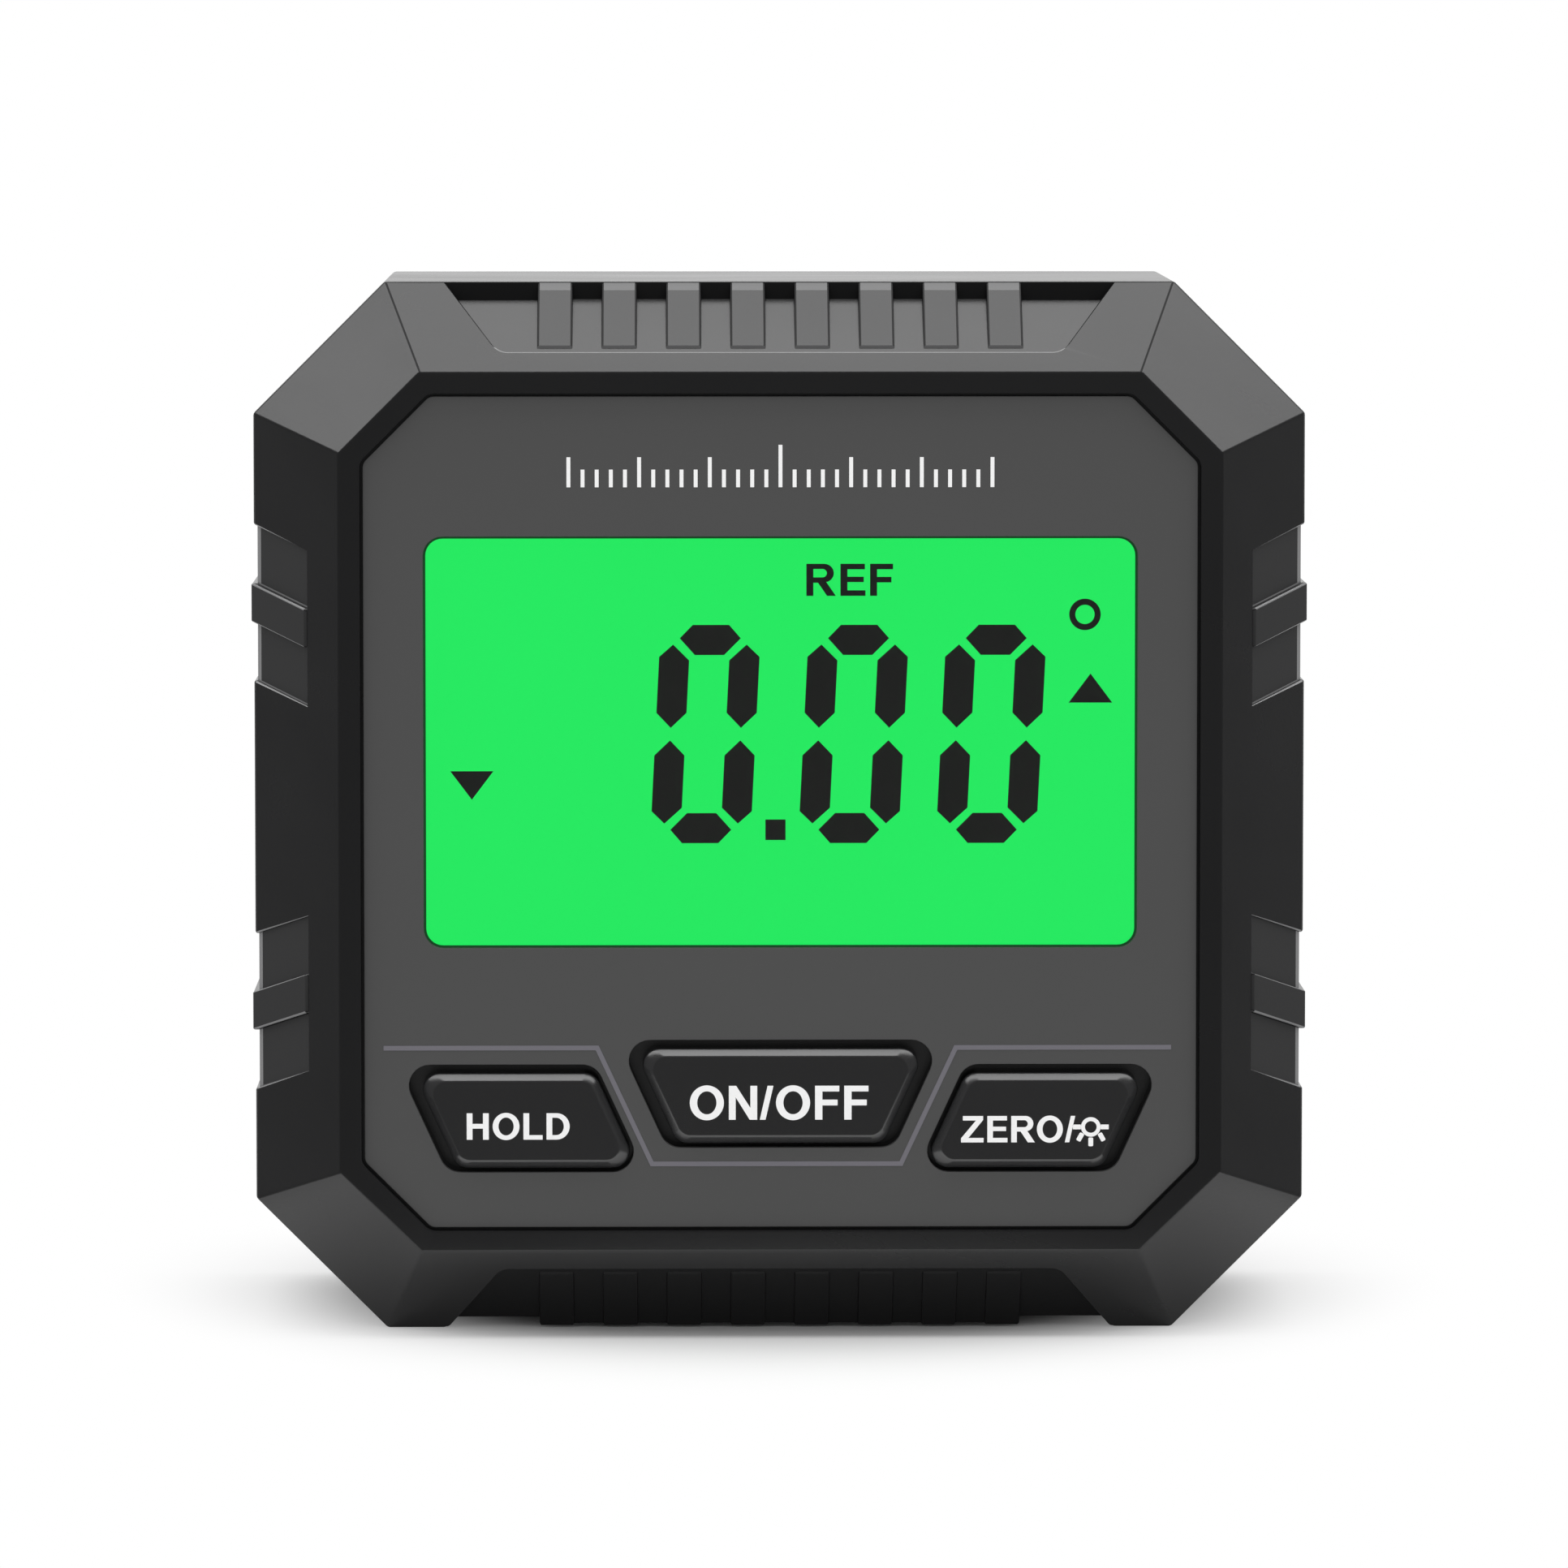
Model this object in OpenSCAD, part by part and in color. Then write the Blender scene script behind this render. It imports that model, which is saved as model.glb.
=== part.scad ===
// Digital angle gauge: a square box with cut corners, a backlit display, three keys and a magnetic base.
// Millimetres. +X is the reader's right, -Y is the front and +Z is up.
// The origin is the middle of the underside.

/* [Case] */
// Width across the two side faces
case_w = 60; // [59:0.5:66]
// Height from the base to the top face
case_h = 60; // [59:0.5:66]
// Depth from the front rim to the rear face
case_d = 30; // [30:0.5:36]
// Leg of the cut corners on the widest section
corner_cut = 7.5; // [6.5:0.25:8]
// Depth and inset of the 45 degree bevel round the front
front_bevel = 5; // [4.75:0.25:5.5]
// Depth and inset of the 45 degree bevel round the rear
rear_bevel = 4; // [3.5:0.25:4.25]
// Side wall of the rear shell
shell_wall = 2; // [1.6:0.1:2.2]
// Back wall of the rear shell
back_wall = 2.6; // [2.4:0.1:3]
// Wall of the front shell behind the face panel
front_wall = 1.8; // [1.6:0.1:2.2]
// Side wall of the front shell, measured at the parting plane
front_side = 4.2; // [3.8:0.1:4.4]
// Height of the tongue that locates the two shells
tongue_h = 1.6; // [1:0.1:2]
// Gap between the tongue and the rear shell
tongue_gap = 0.1; // [0.05:0.05:0.2]

/* [Rim and face panel] */
// Width of the flat rim round the face panel
rim_w = 1.2; // [1:0.1:1.5]
// Depth of the panel's face below the rim
panel_sink = 0.4; // [0.2:0.1:0.6]
// Thickness of the face panel
panel_t = 0.5; // [0.4:0.1:0.8]
// Gap between the panel and its pocket
panel_gap = 0.15; // [0.1:0.05:0.2]
// Corner radius of the panel's pocket
panel_r = 0.8; // [0.4:0.1:1.2]

/* [Display] */
// Distance from the side faces to the display window
window_side = 9.75; // [9.5:0.25:12]
// Distance from the top face to the window's upper edge
window_drop = 14.3; // [14:0.1:16]
// Height of the window's lower edge above the base
window_low = 22.3; // [22:0.1:24]
// Corner radius of the display window
window_r = 1.1; // [0.5:0.1:2]
// Thickness of the clear window
lens_t = 0.7; // [0.5:0.1:0.75]
// How far the clear window reaches under the panel
lens_lap = 0.6; // [0.4:0.1:0.8]
// Gap round the clear window
lens_gap = 0.1; // [0.05:0.05:0.2]
// Thickness of the ledge on which the display cell bears
ledge_t = 0.6; // [0.55:0.05:0.8]
// Thickness of the foam gasket between ledge and cell
gasket_t = 0.2; // [0.15:0.05:0.4]
// Side border of the display cell round the window
cell_border = 1.8; // [1.4:0.1:2]
// Lower border of the display cell
cell_foot = 2.5; // [2:0.1:2.7]
// Upper border of the display cell, which carries its contacts
cell_head = 2.7; // [2.6:0.1:3]
// Thickness of one glass of the display cell
glass_t = 0.85; // [0.6:0.05:1]
// Height of the display frame between cell and board
frame_h = 4.7; // [4.5:0.1:5.2]
// Rim of the display frame outside the cell
frame_rim = 0.4; // [0.3:0.1:0.6]
// Border of the light guide round the window
guide_border = 0.4; // [0.2:0.1:0.6]
// Thickness of the reflector sheet
reflector_t = 0.2; // [0.1:0.1:0.4]
// Width of each edge lamp along the guide's end
lamp_w = 3; // [2:0.5:4]
// Thickness of each edge lamp
lamp_t = 0.9; // [0.6:0.1:1]
// Width of the contact strip
strip_w = 1.3; // [1:0.1:1.4]
// Distance of the contact strip's ends from the ends of the cell
strip_in = 3; // [2.5:0.5:6]
// Gap round the display cell and the pieces in the display frame
frame_gap = 0.1; // [0.05:0.05:0.2]

/* [Keys] */
// Height of each key opening
key_h = 6.15; // [5.5:0.05:6.4]
// Sideways lean of the key sides for each millimetre of height
key_slant = 0.46; // [0.3:0.02:0.5]
// Top width of the middle key opening
power_w = 18.6; // [17:0.2:18.8]
// Height of the middle key opening above the base
power_z = 10.9; // [10.6:0.1:11.2]
// Distance of the side key openings from the edge of the panel's pocket
side_margin = 2; // [1.9:0.1:3]
// Distance between neighbouring key openings, square to their sloping sides
key_space = 1.68; // [1.4:0.02:2.2]
// Height of the side key openings above the base
side_z = 9.5; // [9.2:0.1:10]
// Corner radius of the key openings
key_r = 1.2; // [0.9:0.1:1.5]
// Gap above each key
key_gap_top = 0.48; // [0.3:0.02:0.6]
// Gap below each key
key_gap_low = 0.23; // [0.2:0.01:0.4]
// Gap on the sloping sides of the middle key and the outer side of the side keys
key_gap_outer = 0.65; // [0.4:0.05:0.8]
// Gap on the inner side of the side keys
key_gap_inner = 0.25; // [0.2:0.01:0.4]
// Width and depth of the bevel round each key face
key_bevel = 0.45; // [0.2:0.05:0.6]
// How far the key faces stand above the panel
key_proud = 0.35; // [0.2:0.05:0.6]
// How far each key presses in
key_travel = 0.6; // [0.3:0.1:0.8]
// Width of the flange that keeps each key in
flange_lap = 0.8; // [0.5:0.1:0.9]
// Gap between the flanges of neighbouring keys
flange_space = 0.1; // [0.06:0.02:0.3]
// Thickness of that flange
flange_t = 1; // [0.8:0.1:1.2]
// Gap between the flange and the front wall
flange_gap = 0.1; // [0.05:0.05:0.2]
// Side of a switch body
switch_s = 6; // [5:0.5:6]
// Height of a switch body
switch_h = 3; // [2.5:0.1:3.2]
// Diameter of a switch stem
stem_d = 3.5; // [2.5:0.1:3.6]
// Radial gap round a switch stem
stem_gap = 0.08; // [0.04:0.02:0.1]
// How deep the stem stands in the switch at rest
stem_in = 1; // [0.6:0.1:1.2]
// Room left under the stem when its key is pressed
stem_room = 0.3; // [0.2:0.05:0.4]

/* [Ribbed recesses] */
// Half width of the top and bottom recesses at the parting plane
recess_wide = 18.95; // [17:0.05:20]
// Half width of those recesses at their front end
recess_narrow = 15.9; // [15:0.1:16.5]
// How far the recesses run forward from the parting plane
recess_run = 3.8; // [3:0.1:4]
// Depth of the upper recess at the parting plane
recess_deep = 1; // [0.6:0.1:1.2]
// Depth of the recesses at their front end
recess_shallow = 0.2; // [0.1:0.05:0.6]
// Corner radius at the recesses' front end
recess_r = 1; // [0.5:0.1:1.5]
// Number of ribs in each recess
rib_n = 8; // [6:1:8]
// Width of a rib
rib_w = 2; // [1.5:0.1:2.2]
// Spacing of the ribs
rib_pitch = 3.65; // [3:0.05:3.8]
// Depth of the rib crests below the bevel
rib_sink = 0.12; // [0.05:0.01:0.3]
// Distance of the ribs' front ends from the recesses' front end
rib_back = 0.4; // [0.2:0.1:1]
// Depth of the web between the lower ribs below the bevel
web_sink = 0.3; // [0.2:0.02:0.4]

/* [Side grips] */
// Distance of each grip's middle from mid height
grip_z = 11.7; // [11:0.1:12]
// Height of a grip recess
grip_h = 8.9; // [8:0.1:9]
// Height of the ridge in the middle of a grip
ridge_h = 2.2; // [1.5:0.1:2.5]
// Depth of the grip floor below the side
grip_sink = 0.22; // [0.14:0.02:0.4]
// How far the ridge stands out from the side
ridge_proud = 0.14; // [0.1:0.02:0.3]
// How far the grips run forward on the bevel
grip_front = 3.15; // [2.5:0.05:3.3]
// Distance of the grips' rear ends from the rear bevel
grip_rear = 2; // [1.5:0.5:8]
// Slope of the grip edges on the bevel
grip_slope = 0.414; // [0.2:0.002:0.5]

/* [Base and magnets] */
// Half width of the relief between the two base rails
relief_half = 19.15; // [17:0.05:20]
// Height of that relief
relief_h = 0.6; // [0.3:0.1:0.8]
// Height above the rails of the pad that holds the magnets
pad_sink = 0.2; // [0.1:0.05:0.25]
// Diameter of each magnet
magnet_d = 10; // [8:0.5:11]
// Thickness of each magnet
magnet_t = 3; // [2:0.5:3]
// Distance of each magnet from the middle
magnet_x = 8; // [7:0.25:8.25]
// Gap round each magnet
magnet_gap = 0.08; // [0.05:0.01:0.15]
// Depth of the magnet faces above the base rails
magnet_sink = 0.3; // [0.25:0.05:0.4]
// Wall round and above each magnet
magnet_wall = 1.2; // [1:0.1:1.5]

/* [Circuit board] */
// Thickness of the board
board_t = 1.6; // [1:0.1:1.6]
// Gap between the board and the rear shell
board_gap = 0.8; // [0.6:0.1:1]
// Height of the board's lower edge above the base
board_z = 6; // [5:0.25:7]
// Gap between the board's lower part and the case screw bosses
foot_gap = 1.2; // [0.8:0.1:1.6]
// Height of the shoulder above the board's lower part
board_shoulder = 12.5; // [12.2:0.1:13]
// Height to which the board's shoulder slopes
board_flank = 16.5; // [16:0.1:17]
// Distance of the controller chip from the middle
chip_x = 7; // [5:0.5:9]
// Side of the controller chip
chip_s = 9; // [6:0.5:11]
// Thickness of the controller chip
chip_t = 1.4; // [1:0.1:2]
// Distance of the tilt sensor from the middle
sensor_x = 6; // [5:0.5:8]
// Height of the tilt sensor above the board's lower edge
sensor_z = 7; // [5:0.5:9]
// Side of the tilt sensor
sensor_s = 5; // [3:0.5:6]
// Thickness of the tilt sensor
sensor_t = 1.5; // [0.8:0.1:2]
// Radius of the board's screw bosses
board_boss_r = 1.9; // [1.7:0.1:2]
// Distance of the board screws from the board's side edge
board_screw_in = 2.3; // [2.1:0.1:2.5]
// Distance of the lower board screws below mid height
board_screw_low = 9.5; // [9:0.25:10]
// Distance of the upper board screws below the board's upper edge
board_screw_drop = 2.8; // [2.3:0.1:4.8]

/* [Screws] */
// Radius of the case screw bosses
boss_r = 2.4; // [2.3:0.1:2.5]
// Distance of the lower case screws from the sides
low_screw_in = 6.2; // [6:0.1:6.4]
// Height of the lower case screws above the base
low_screw_z = 10.5; // [10.2:0.1:10.8]
// Distance of the upper case screws from the sides
high_screw_in = 8.5; // [8.2:0.1:9]
// Distance of the upper case screws below the top
high_screw_drop = 8; // [7.8:0.1:8.1]
// Radius of a case screw's shank
screw_r = 1; // [0.8:0.05:1.1]
// Radius of a case screw's head
head_r = 1.7; // [1.5:0.05:1.75]
// Height of a case screw's head
head_h = 1.4; // [1:0.1:1.8]
// Length of a case screw under its head
screw_l = 12.5; // [11:0.5:13]
// Radius of a board screw's shank
small_r = 0.8; // [0.6:0.05:0.9]
// Radius of a board screw's head
small_head_r = 1.6; // [1.4:0.05:1.8]
// Height of a board screw's head
small_head_h = 1.1; // [0.8:0.1:1.4]
// Length of a board screw under its head
small_l = 5; // [4:0.5:5.5]
// Radial gap round a screw's shank
screw_gap = 0.05; // [0.03:0.01:0.1]

/* [Battery bay] */
// Diameter of a cell
cell_d = 10.5; // [10:0.1:10.6]
// Length of a cell with its button
cell_l = 44.5; // [43:0.1:44.5]
// Length of the cell's button
button_l = 1.2; // [0.8:0.1:1.5]
// Diameter of the cell's button
button_d = 3.8; // [3:0.1:4]
// Gap between the two cells
cell_gap = 0.5; // [0.3:0.1:0.8]
// Gap between a cell and the bay
bay_gap = 0.3; // [0.2:0.05:0.4]
// Wall of the battery bay
bay_wall = 1.2; // [1:0.1:1.4]
// Compressed length of a contact spring
spring_l = 4.6; // [4:0.1:4.8]
// Radius of the spring's wide end
spring_wide = 3.6; // [3:0.1:4]
// Radius of the spring's narrow end
spring_narrow = 2; // [1.5:0.1:2.5]
// Radius of the spring's wire
spring_wire = 0.35; // [0.25:0.05:0.4]
// Turns of the spring
spring_turns = 4; // [3:0.5:4]
// Thickness of a contact plate
contact_t = 0.4; // [0.3:0.05:0.5]
// Height of a contact plate's raised pad
pad_h = 0.6; // [0.4:0.1:0.8]
// Width of the tail that takes a contact to the board
tail_w = 3; // [2:0.5:4]
// Inset of the contact plates from the side of a cell
plate_in = 1.05; // [0.8:0.05:1.4]
// Diameter of the raised pads
pad_d = 5; // [4:0.5:6]

/* [Battery door] */
// Thickness of the door
door_t = 1.7; // [1.6:0.1:1.8]
// How far the door reaches over the bay at its long edges
door_lap = 1.5; // [1.2:0.1:2]
// How far the door reaches over the bay at its closed end
door_end = 0.5; // [0.4:0.1:0.6]
// Width of the lip that hides the contacts at the closed end
bay_lip = 0.85; // [0.5:0.05:1]
// Width of the sliding tongues
rail_w = 0.8; // [0.6:0.1:1]
// Thickness of the sliding tongues
rail_t = 0.8; // [0.6:0.1:0.9]
// Running gap round the door
door_gap = 0.12; // [0.1:0.01:0.15]
// Number of thumb grooves
thumb_n = 6; // [4:1:8]
// Spacing of the thumb grooves
thumb_pitch = 1.8; // [1.5:0.1:2]
// Length of the thumb grooves
thumb_l = 13; // [8:0.5:16]
// Depth of the thumb grooves
thumb_deep = 0.45; // [0.3:0.05:0.6]

/* [Hidden] */
$fn = 48;

// Cuts run this far past a face so that they go right through it
over = 1;
// Steps along a rounded corner
corner_steps = 8;
// Pieces that stand on a wall start this far inside it
root = 0.3;
// Gap between the bosses of the two shells
boss_gap = 0.1;

half_w = case_w / 2;
half_h = case_h / 2;
mid_z = half_h;
diag_half = (half_w + half_h - corner_cut) / sqrt(2);

// Depths from the front rim to the rear face
y_front = -case_d / 2;
y_rear = case_d / 2;
y_edge = y_front + front_bevel;
y_back_edge = y_rear - rear_bevel;
y_panel = y_front + panel_sink;
y_seat = y_panel + panel_t;
y_wall = y_seat + front_wall;
y_ledge = y_seat + ledge_t;
y_cell_front = y_ledge + gasket_t;
y_cell_back = y_cell_front + 2 * glass_t;
y_board = y_cell_back + frame_h;
y_board_back = y_board + board_t;
y_door = y_rear - door_t;
y_shelf = y_door - door_gap;
y_cavity = y_rear - back_wall;
y_battery = y_door - bay_gap - cell_d / 2;
y_bay = y_battery - cell_d / 2 - bay_gap;
y_key = y_panel - key_proud;
y_flange = y_wall + flange_gap;
y_switch = y_board - switch_h;

// Display stack
window_w = case_w - 2 * window_side;
window_h = case_h - window_drop - window_low;
window_z = window_low + window_h / 2;
cell_w = window_w + 2 * cell_border;
cell_low = window_z - window_h / 2 - cell_foot;
cell_top = window_z + window_h / 2 + cell_head;
guide_w = window_w + 2 * guide_border;
guide_h = window_h + 2 * guide_border;
frame_half = cell_w / 2 + frame_rim;
frame_low = cell_low - frame_rim;
frame_top = cell_top + frame_rim;
cell_mid = (cell_low + cell_top) / 2;
cell_h = cell_top - cell_low;
lens_w = window_w + 2 * lens_lap;
lens_h = window_h + 2 * lens_lap;
lens_r = window_r + lens_lap;
strip_l = cell_w - 2 * strip_in;
strip_top = cell_top - frame_gap;

// Battery bay
bay_l = 2 * contact_t + pad_h + cell_l + spring_l;
bay_h = 2 * cell_d + cell_gap + 2 * bay_gap;
cell_rise = (cell_d + cell_gap) / 2;
door_h = bay_h + 2 * door_lap;
door_x = -bay_l / 2 + bay_lip - door_end;
tail_slot = 0.3;

board_half = half_w - shell_wall - board_gap;
board_foot = half_w - low_screw_in - boss_r - foot_gap;
board_screw_x = board_half - board_screw_in;
chip_spot = [-chip_x, window_z];
sensor_spot = [sensor_x, board_z + sensor_z];
magnet_y = (y_edge + y_back_edge) / 2;
// The pad is as wide as the row of ribs in front of it
pad_half = ((rib_n - 1) * rib_pitch + rib_w) / 2;
screw_seat = y_wall + boss_gap + screw_l;

case_screw_spots = [
    for (side = [-1, 1], spot = [
        [half_w - low_screw_in, low_screw_z],
        [half_w - high_screw_in, case_h - high_screw_drop]
    ]) [side * spot.x, spot.y]
];
board_screw_spots = [
    for (side = [-1, 1], height = [mid_z - board_screw_low, frame_top - board_screw_drop])
        [side * board_screw_x, height]
];

// Colours
black_plastic = "#26262a";
key_plastic = "#2d2d30";
panel_grey = "#4f4f50";
steel = "#b9bcc0";

// Outlines in x and z, counter-clockwise from the front

// Octagon of the case, drawn in by t on every side
function octagon(t) = let (x = half_w - t, z = half_h - t, s = (diag_half - t) * sqrt(2)) [
    [z - s, mid_z + z], [-x, mid_z + s - x], [-x, mid_z + x - s], [z - s, mid_z - z],
    [s - z, mid_z - z], [x, mid_z + x - s], [x, mid_z + s - x], [s - z, mid_z + z]
];

function unit(v) = v / norm(v);

// Each corner of an outline as an arc of radius r
function rounded(pts, r) = let (n = len(pts)) [
    for (i = [0 : n - 1])
        each corner_arc(pts[i], pts[(i + n - 1) % n], pts[(i + 1) % n], r)
];

function corner_arc(p, before, after, r) = let (
    a = unit(before - p),
    b = unit(after - p),
    half_angle = acos(a * b) / 2,
    centre = p + unit(a + b) * r / sin(half_angle),
    first = p + a * r / tan(half_angle) - centre,
    last = p + b * r / tan(half_angle) - centre,
    start = atan2(first.y, first.x),
    swing = atan2(last.y, last.x) - start,
    turn = swing > 180 ? swing - 360 : swing < -180 ? swing + 360 : swing
) [for (i = [0 : corner_steps]) let (t = start + turn * i / corner_steps) centre + r * [cos(t), sin(t)]];

// Each edge of a convex outline moved inwards by its own gap
function drawn_in(pts, gaps) = let (n = len(pts)) [
    for (i = [0 : n - 1]) let (
        j = (i + n - 1) % n,
        p = moved_point(pts, i, gaps[i]),
        q = moved_point(pts, j, gaps[j]),
        u = pts[(i + 1) % n] - pts[i],
        v = pts[i] - pts[j],
        s = cross(q - p, v) / cross(u, v)
    ) p + u * s
];

function moved_point(pts, i, gap) = let (e = unit(pts[(i + 1) % len(pts)] - pts[i]))
    pts[i] + gap * [-e.y, e.x];

function rectangle(w, h, z) = let (x = w / 2, low = z - h / 2, high = z + h / 2)
    [[-x, high], [-x, low], [x, low], [x, high]];

// Key openings: left side, bottom, right side and top
key_lean = key_slant * key_h;
// Distance from the middle to the top inner corner of a side key opening
side_x = power_w / 2 + key_space * sqrt(1 + key_slant * key_slant) - key_slant * (power_z - side_z);
side_w = half_w - front_bevel - rim_w - side_margin - side_x;
power_hole = [
    [-power_w / 2, power_z + key_h], [key_lean - power_w / 2, power_z],
    [power_w / 2 - key_lean, power_z], [power_w / 2, power_z + key_h]
];
hold_hole = [
    [-side_x - side_w, side_z + key_h], [key_lean - side_x - side_w, side_z],
    [key_lean - side_x, side_z], [-side_x, side_z + key_h]
];
power_gaps = [key_gap_outer, key_gap_low, key_gap_outer, key_gap_top];
hold_gaps = [key_gap_outer, key_gap_low, key_gap_inner, key_gap_top];
// Flange widths in the same order as the gaps
near_lap = (key_space - flange_space) / 2;
power_laps = [near_lap, flange_lap, near_lap, flange_lap];
hold_laps = [flange_lap, flange_lap, near_lap, flange_lap];
power_centre = [0, power_z + key_h / 2];
hold_centre = [key_lean / 2 - side_x - side_w / 2, side_z + key_h / 2];
zero_centre = [-hold_centre.x, hold_centre.y];

// Bodies of extruded outlines

// Outline in x and z, extruded from y0 to y1
module slice(pts, y0, y1) {
    translate([0, y1, 0])
        rotate([90, 0, 0])
            linear_extrude(y1 - y0)
                polygon(pts);
}

// Outline in y and z, extruded from x0 to x1
module bar_x(pts, x0, x1) {
    translate([x0, 0, 0])
        rotate([90, 0, 90])
            linear_extrude(x1 - x0)
                polygon(pts);
}

// Box between two corners
module block(from, to) {
    translate(from)
        cube(to - from);
}

// Round rod along y
module rod(spot, r, y0, y1) {
    translate([spot.x, y0, spot.y])
        rotate([-90, 0, 0])
            cylinder(h = y1 - y0, r = r);
}

// Solid through outlines with equal numbers of points at given depths, front to back
module loft(outlines, depths) {
    n = len(outlines[0]);
    last = len(outlines) - 1;
    polyhedron(
        points = [for (k = [0 : last], p = outlines[k]) [p.x, depths[k], p.y]],
        faces = [
            [for (i = [n - 1 : -1 : 0]) i],
            [for (i = [0 : n - 1]) last * n + i],
            for (k = [0 : last - 1], i = [0 : n - 1]) let (a = k * n + i, b = k * n + (i + 1) % n)
                [a, b, b + n, a + n]
        ]
    );
}

// Endless bar with a given section in x and y, turned about the middle of the case
module slab(section, turn) {
    rotate([0, turn, 0])
        linear_extrude(2 * (case_w + case_h), center = true)
            polygon(section);
}

// Bevelled front of the case, drawn in by t
module front_block(t = 0) {
    translate([0, 0, mid_z])
        intersection() {
            slab(front_section(half_w - t), 0);
            slab(front_section(half_h - t), 90);
            slab(front_section(diag_half - t), 45);
            slab(front_section(diag_half - t), -45);
        }
}

function front_section(h) = [
    [front_bevel - h, y_front], [h - front_bevel, y_front], [h, y_edge], [-h, y_edge]
];

// Straight body and bevelled rear of the case, drawn in by t and starting ahead of the parting plane
module rear_block(t = 0, ahead = 0) {
    translate([0, 0, mid_z])
        intersection() {
            slab(rear_section(half_w - t, ahead), 0);
            slab(rear_section(half_h - t, ahead), 90);
            slab(rear_section(diag_half - t, ahead), 45);
            slab(rear_section(diag_half - t, ahead), -45);
        }
}

function rear_section(h, ahead) = [
    [-h, y_edge - ahead], [h, y_edge - ahead], [h, y_back_edge],
    [h - rear_bevel, y_rear], [rear_bevel - h, y_rear], [-h, y_back_edge]
];

// The children and their mirror image in the plane of symmetry
module both_sides() {
    children();
    mirror([1, 0, 0])
        children();
}

// The children and their mirror image about mid height
module top_and_bottom() {
    children();
    at_bottom()
        children();
}

// The children's mirror image about mid height
module at_bottom() {
    translate([0, 0, case_h])
        mirror([0, 0, 1])
            children();
}

// Ribbed recesses of the top and bottom bevels
recess_front = y_edge - recess_run;
rib_front = recess_front + rib_back;
rib_root = case_h - front_side + tongue_gap;

// Recess of the upper bevel with a given depth at the parting plane
module recess_cut(deep) {
    left = [-recess_narrow, recess_front];
    right = [recess_narrow, recess_front];
    reach = (recess_run + over) / recess_run;
    left_end = left + reach * [recess_narrow - recess_wide, recess_run];
    right_end = right + reach * [recess_wide - recess_narrow, recess_run];
    plan = [
        left_end,
        each corner_arc(left, left_end, right, recess_r),
        each corner_arc(right, left, right_end, recess_r),
        right_end
    ];
    floor_front = case_h - recess_run - recess_shallow;
    floor_rise = (recess_run + recess_shallow - deep) / recess_run;
    intersection() {
        linear_extrude(case_h + over)
            polygon(plan);
        bar_x([
            [recess_front - over, floor_front - floor_rise * over],
            [y_edge + over, case_h - deep + floor_rise * over],
            [y_edge + over, case_h + over],
            [recess_front - over, case_h + over]
        ], -half_w, half_w);
    }
}

module ribs() {
    intersection() {
        front_block(rib_sink);
        for (i = [0 : rib_n - 1])
            translate([(i - (rib_n - 1) / 2) * rib_pitch, 0, 0])
                block([-rib_w / 2, rib_front, rib_root], [rib_w / 2, y_edge, case_h]);
    }
}

// Web between the ribs, which closes the gaps in front of the magnet pad
module rib_web() {
    web_half = pad_half - rib_w / 2;
    intersection() {
        front_block(web_sink);
        block([-web_half, rib_front, rib_root], [web_half, y_edge, case_h]);
    }
}

// Outline in y and z of a grip or its ridge on the upper half, height h
function grip_on_bevel(h) = let (z = mid_z + grip_z, drop = grip_slope * grip_front) [
    [y_edge - grip_front, z - h / 2 - drop], [y_edge, z - h / 2],
    [y_edge, z + h / 2], [y_edge - grip_front, z + h / 2 - drop]
];

function grip_on_side(h) = let (z = mid_z + grip_z) [
    [y_edge, z - h / 2], [y_back_edge - grip_rear, z - h / 2],
    [y_back_edge - grip_rear, z + h / 2], [y_edge, z + h / 2]
];

// Bars through one outline at all four grips, starting this far inside the side face
module grip_bars(outline, inside) {
    both_sides()
        top_and_bottom()
            bar_x(outline, half_w - inside, half_w + over);
}

// Front shell
module front_skin() {
    difference() {
        front_block();
        recess_cut(recess_deep);
        at_bottom()
            recess_cut(relief_h);
        difference() {
            grip_bars(grip_on_bevel(grip_h), front_side - tongue_gap);
            front_block(grip_sink);
        }
    }
    top_and_bottom()
        ribs();
    at_bottom()
        rib_web();
    intersection() {
        front_block(-ridge_proud);
        grip_bars(grip_on_bevel(ridge_h), front_side - tongue_gap);
    }
}

module front_bosses() {
    difference() {
        union() {
            for (spot = case_screw_spots)
                rod(spot, boss_r, y_wall - root, y_board - boss_gap);
            for (spot = board_screw_spots)
                rod(spot, board_boss_r, y_wall - root, y_board);
        }
        for (spot = case_screw_spots)
            rod(spot, screw_r + screw_gap, y_wall + screw_gap, y_board);
        for (spot = board_screw_spots)
            rod(spot, small_r + screw_gap, y_wall + screw_gap, y_board + over);
    }
}

module key_openings(y0, y1) {
    slice(rounded(power_hole, key_r), y0, y1);
    both_sides()
        slice(rounded(hold_hole, key_r), y0, y1);
}

module window_opening(y0, y1) {
    slice(rounded(rectangle(window_w, window_h, window_z), window_r), y0, y1);
}

// Hole for the clear window
module lens_opening(y0, y1) {
    hole = rectangle(lens_w + 2 * lens_gap, lens_h + 2 * lens_gap, window_z);
    slice(rounded(hole, lens_r), y0, y1);
}

// Pocket for the display cell behind its ledge
module cell_pocket() {
    slice(rectangle(cell_w + 2 * frame_gap, cell_h + 2 * frame_gap, cell_mid), y_ledge, y_wall + over);
}

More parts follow.
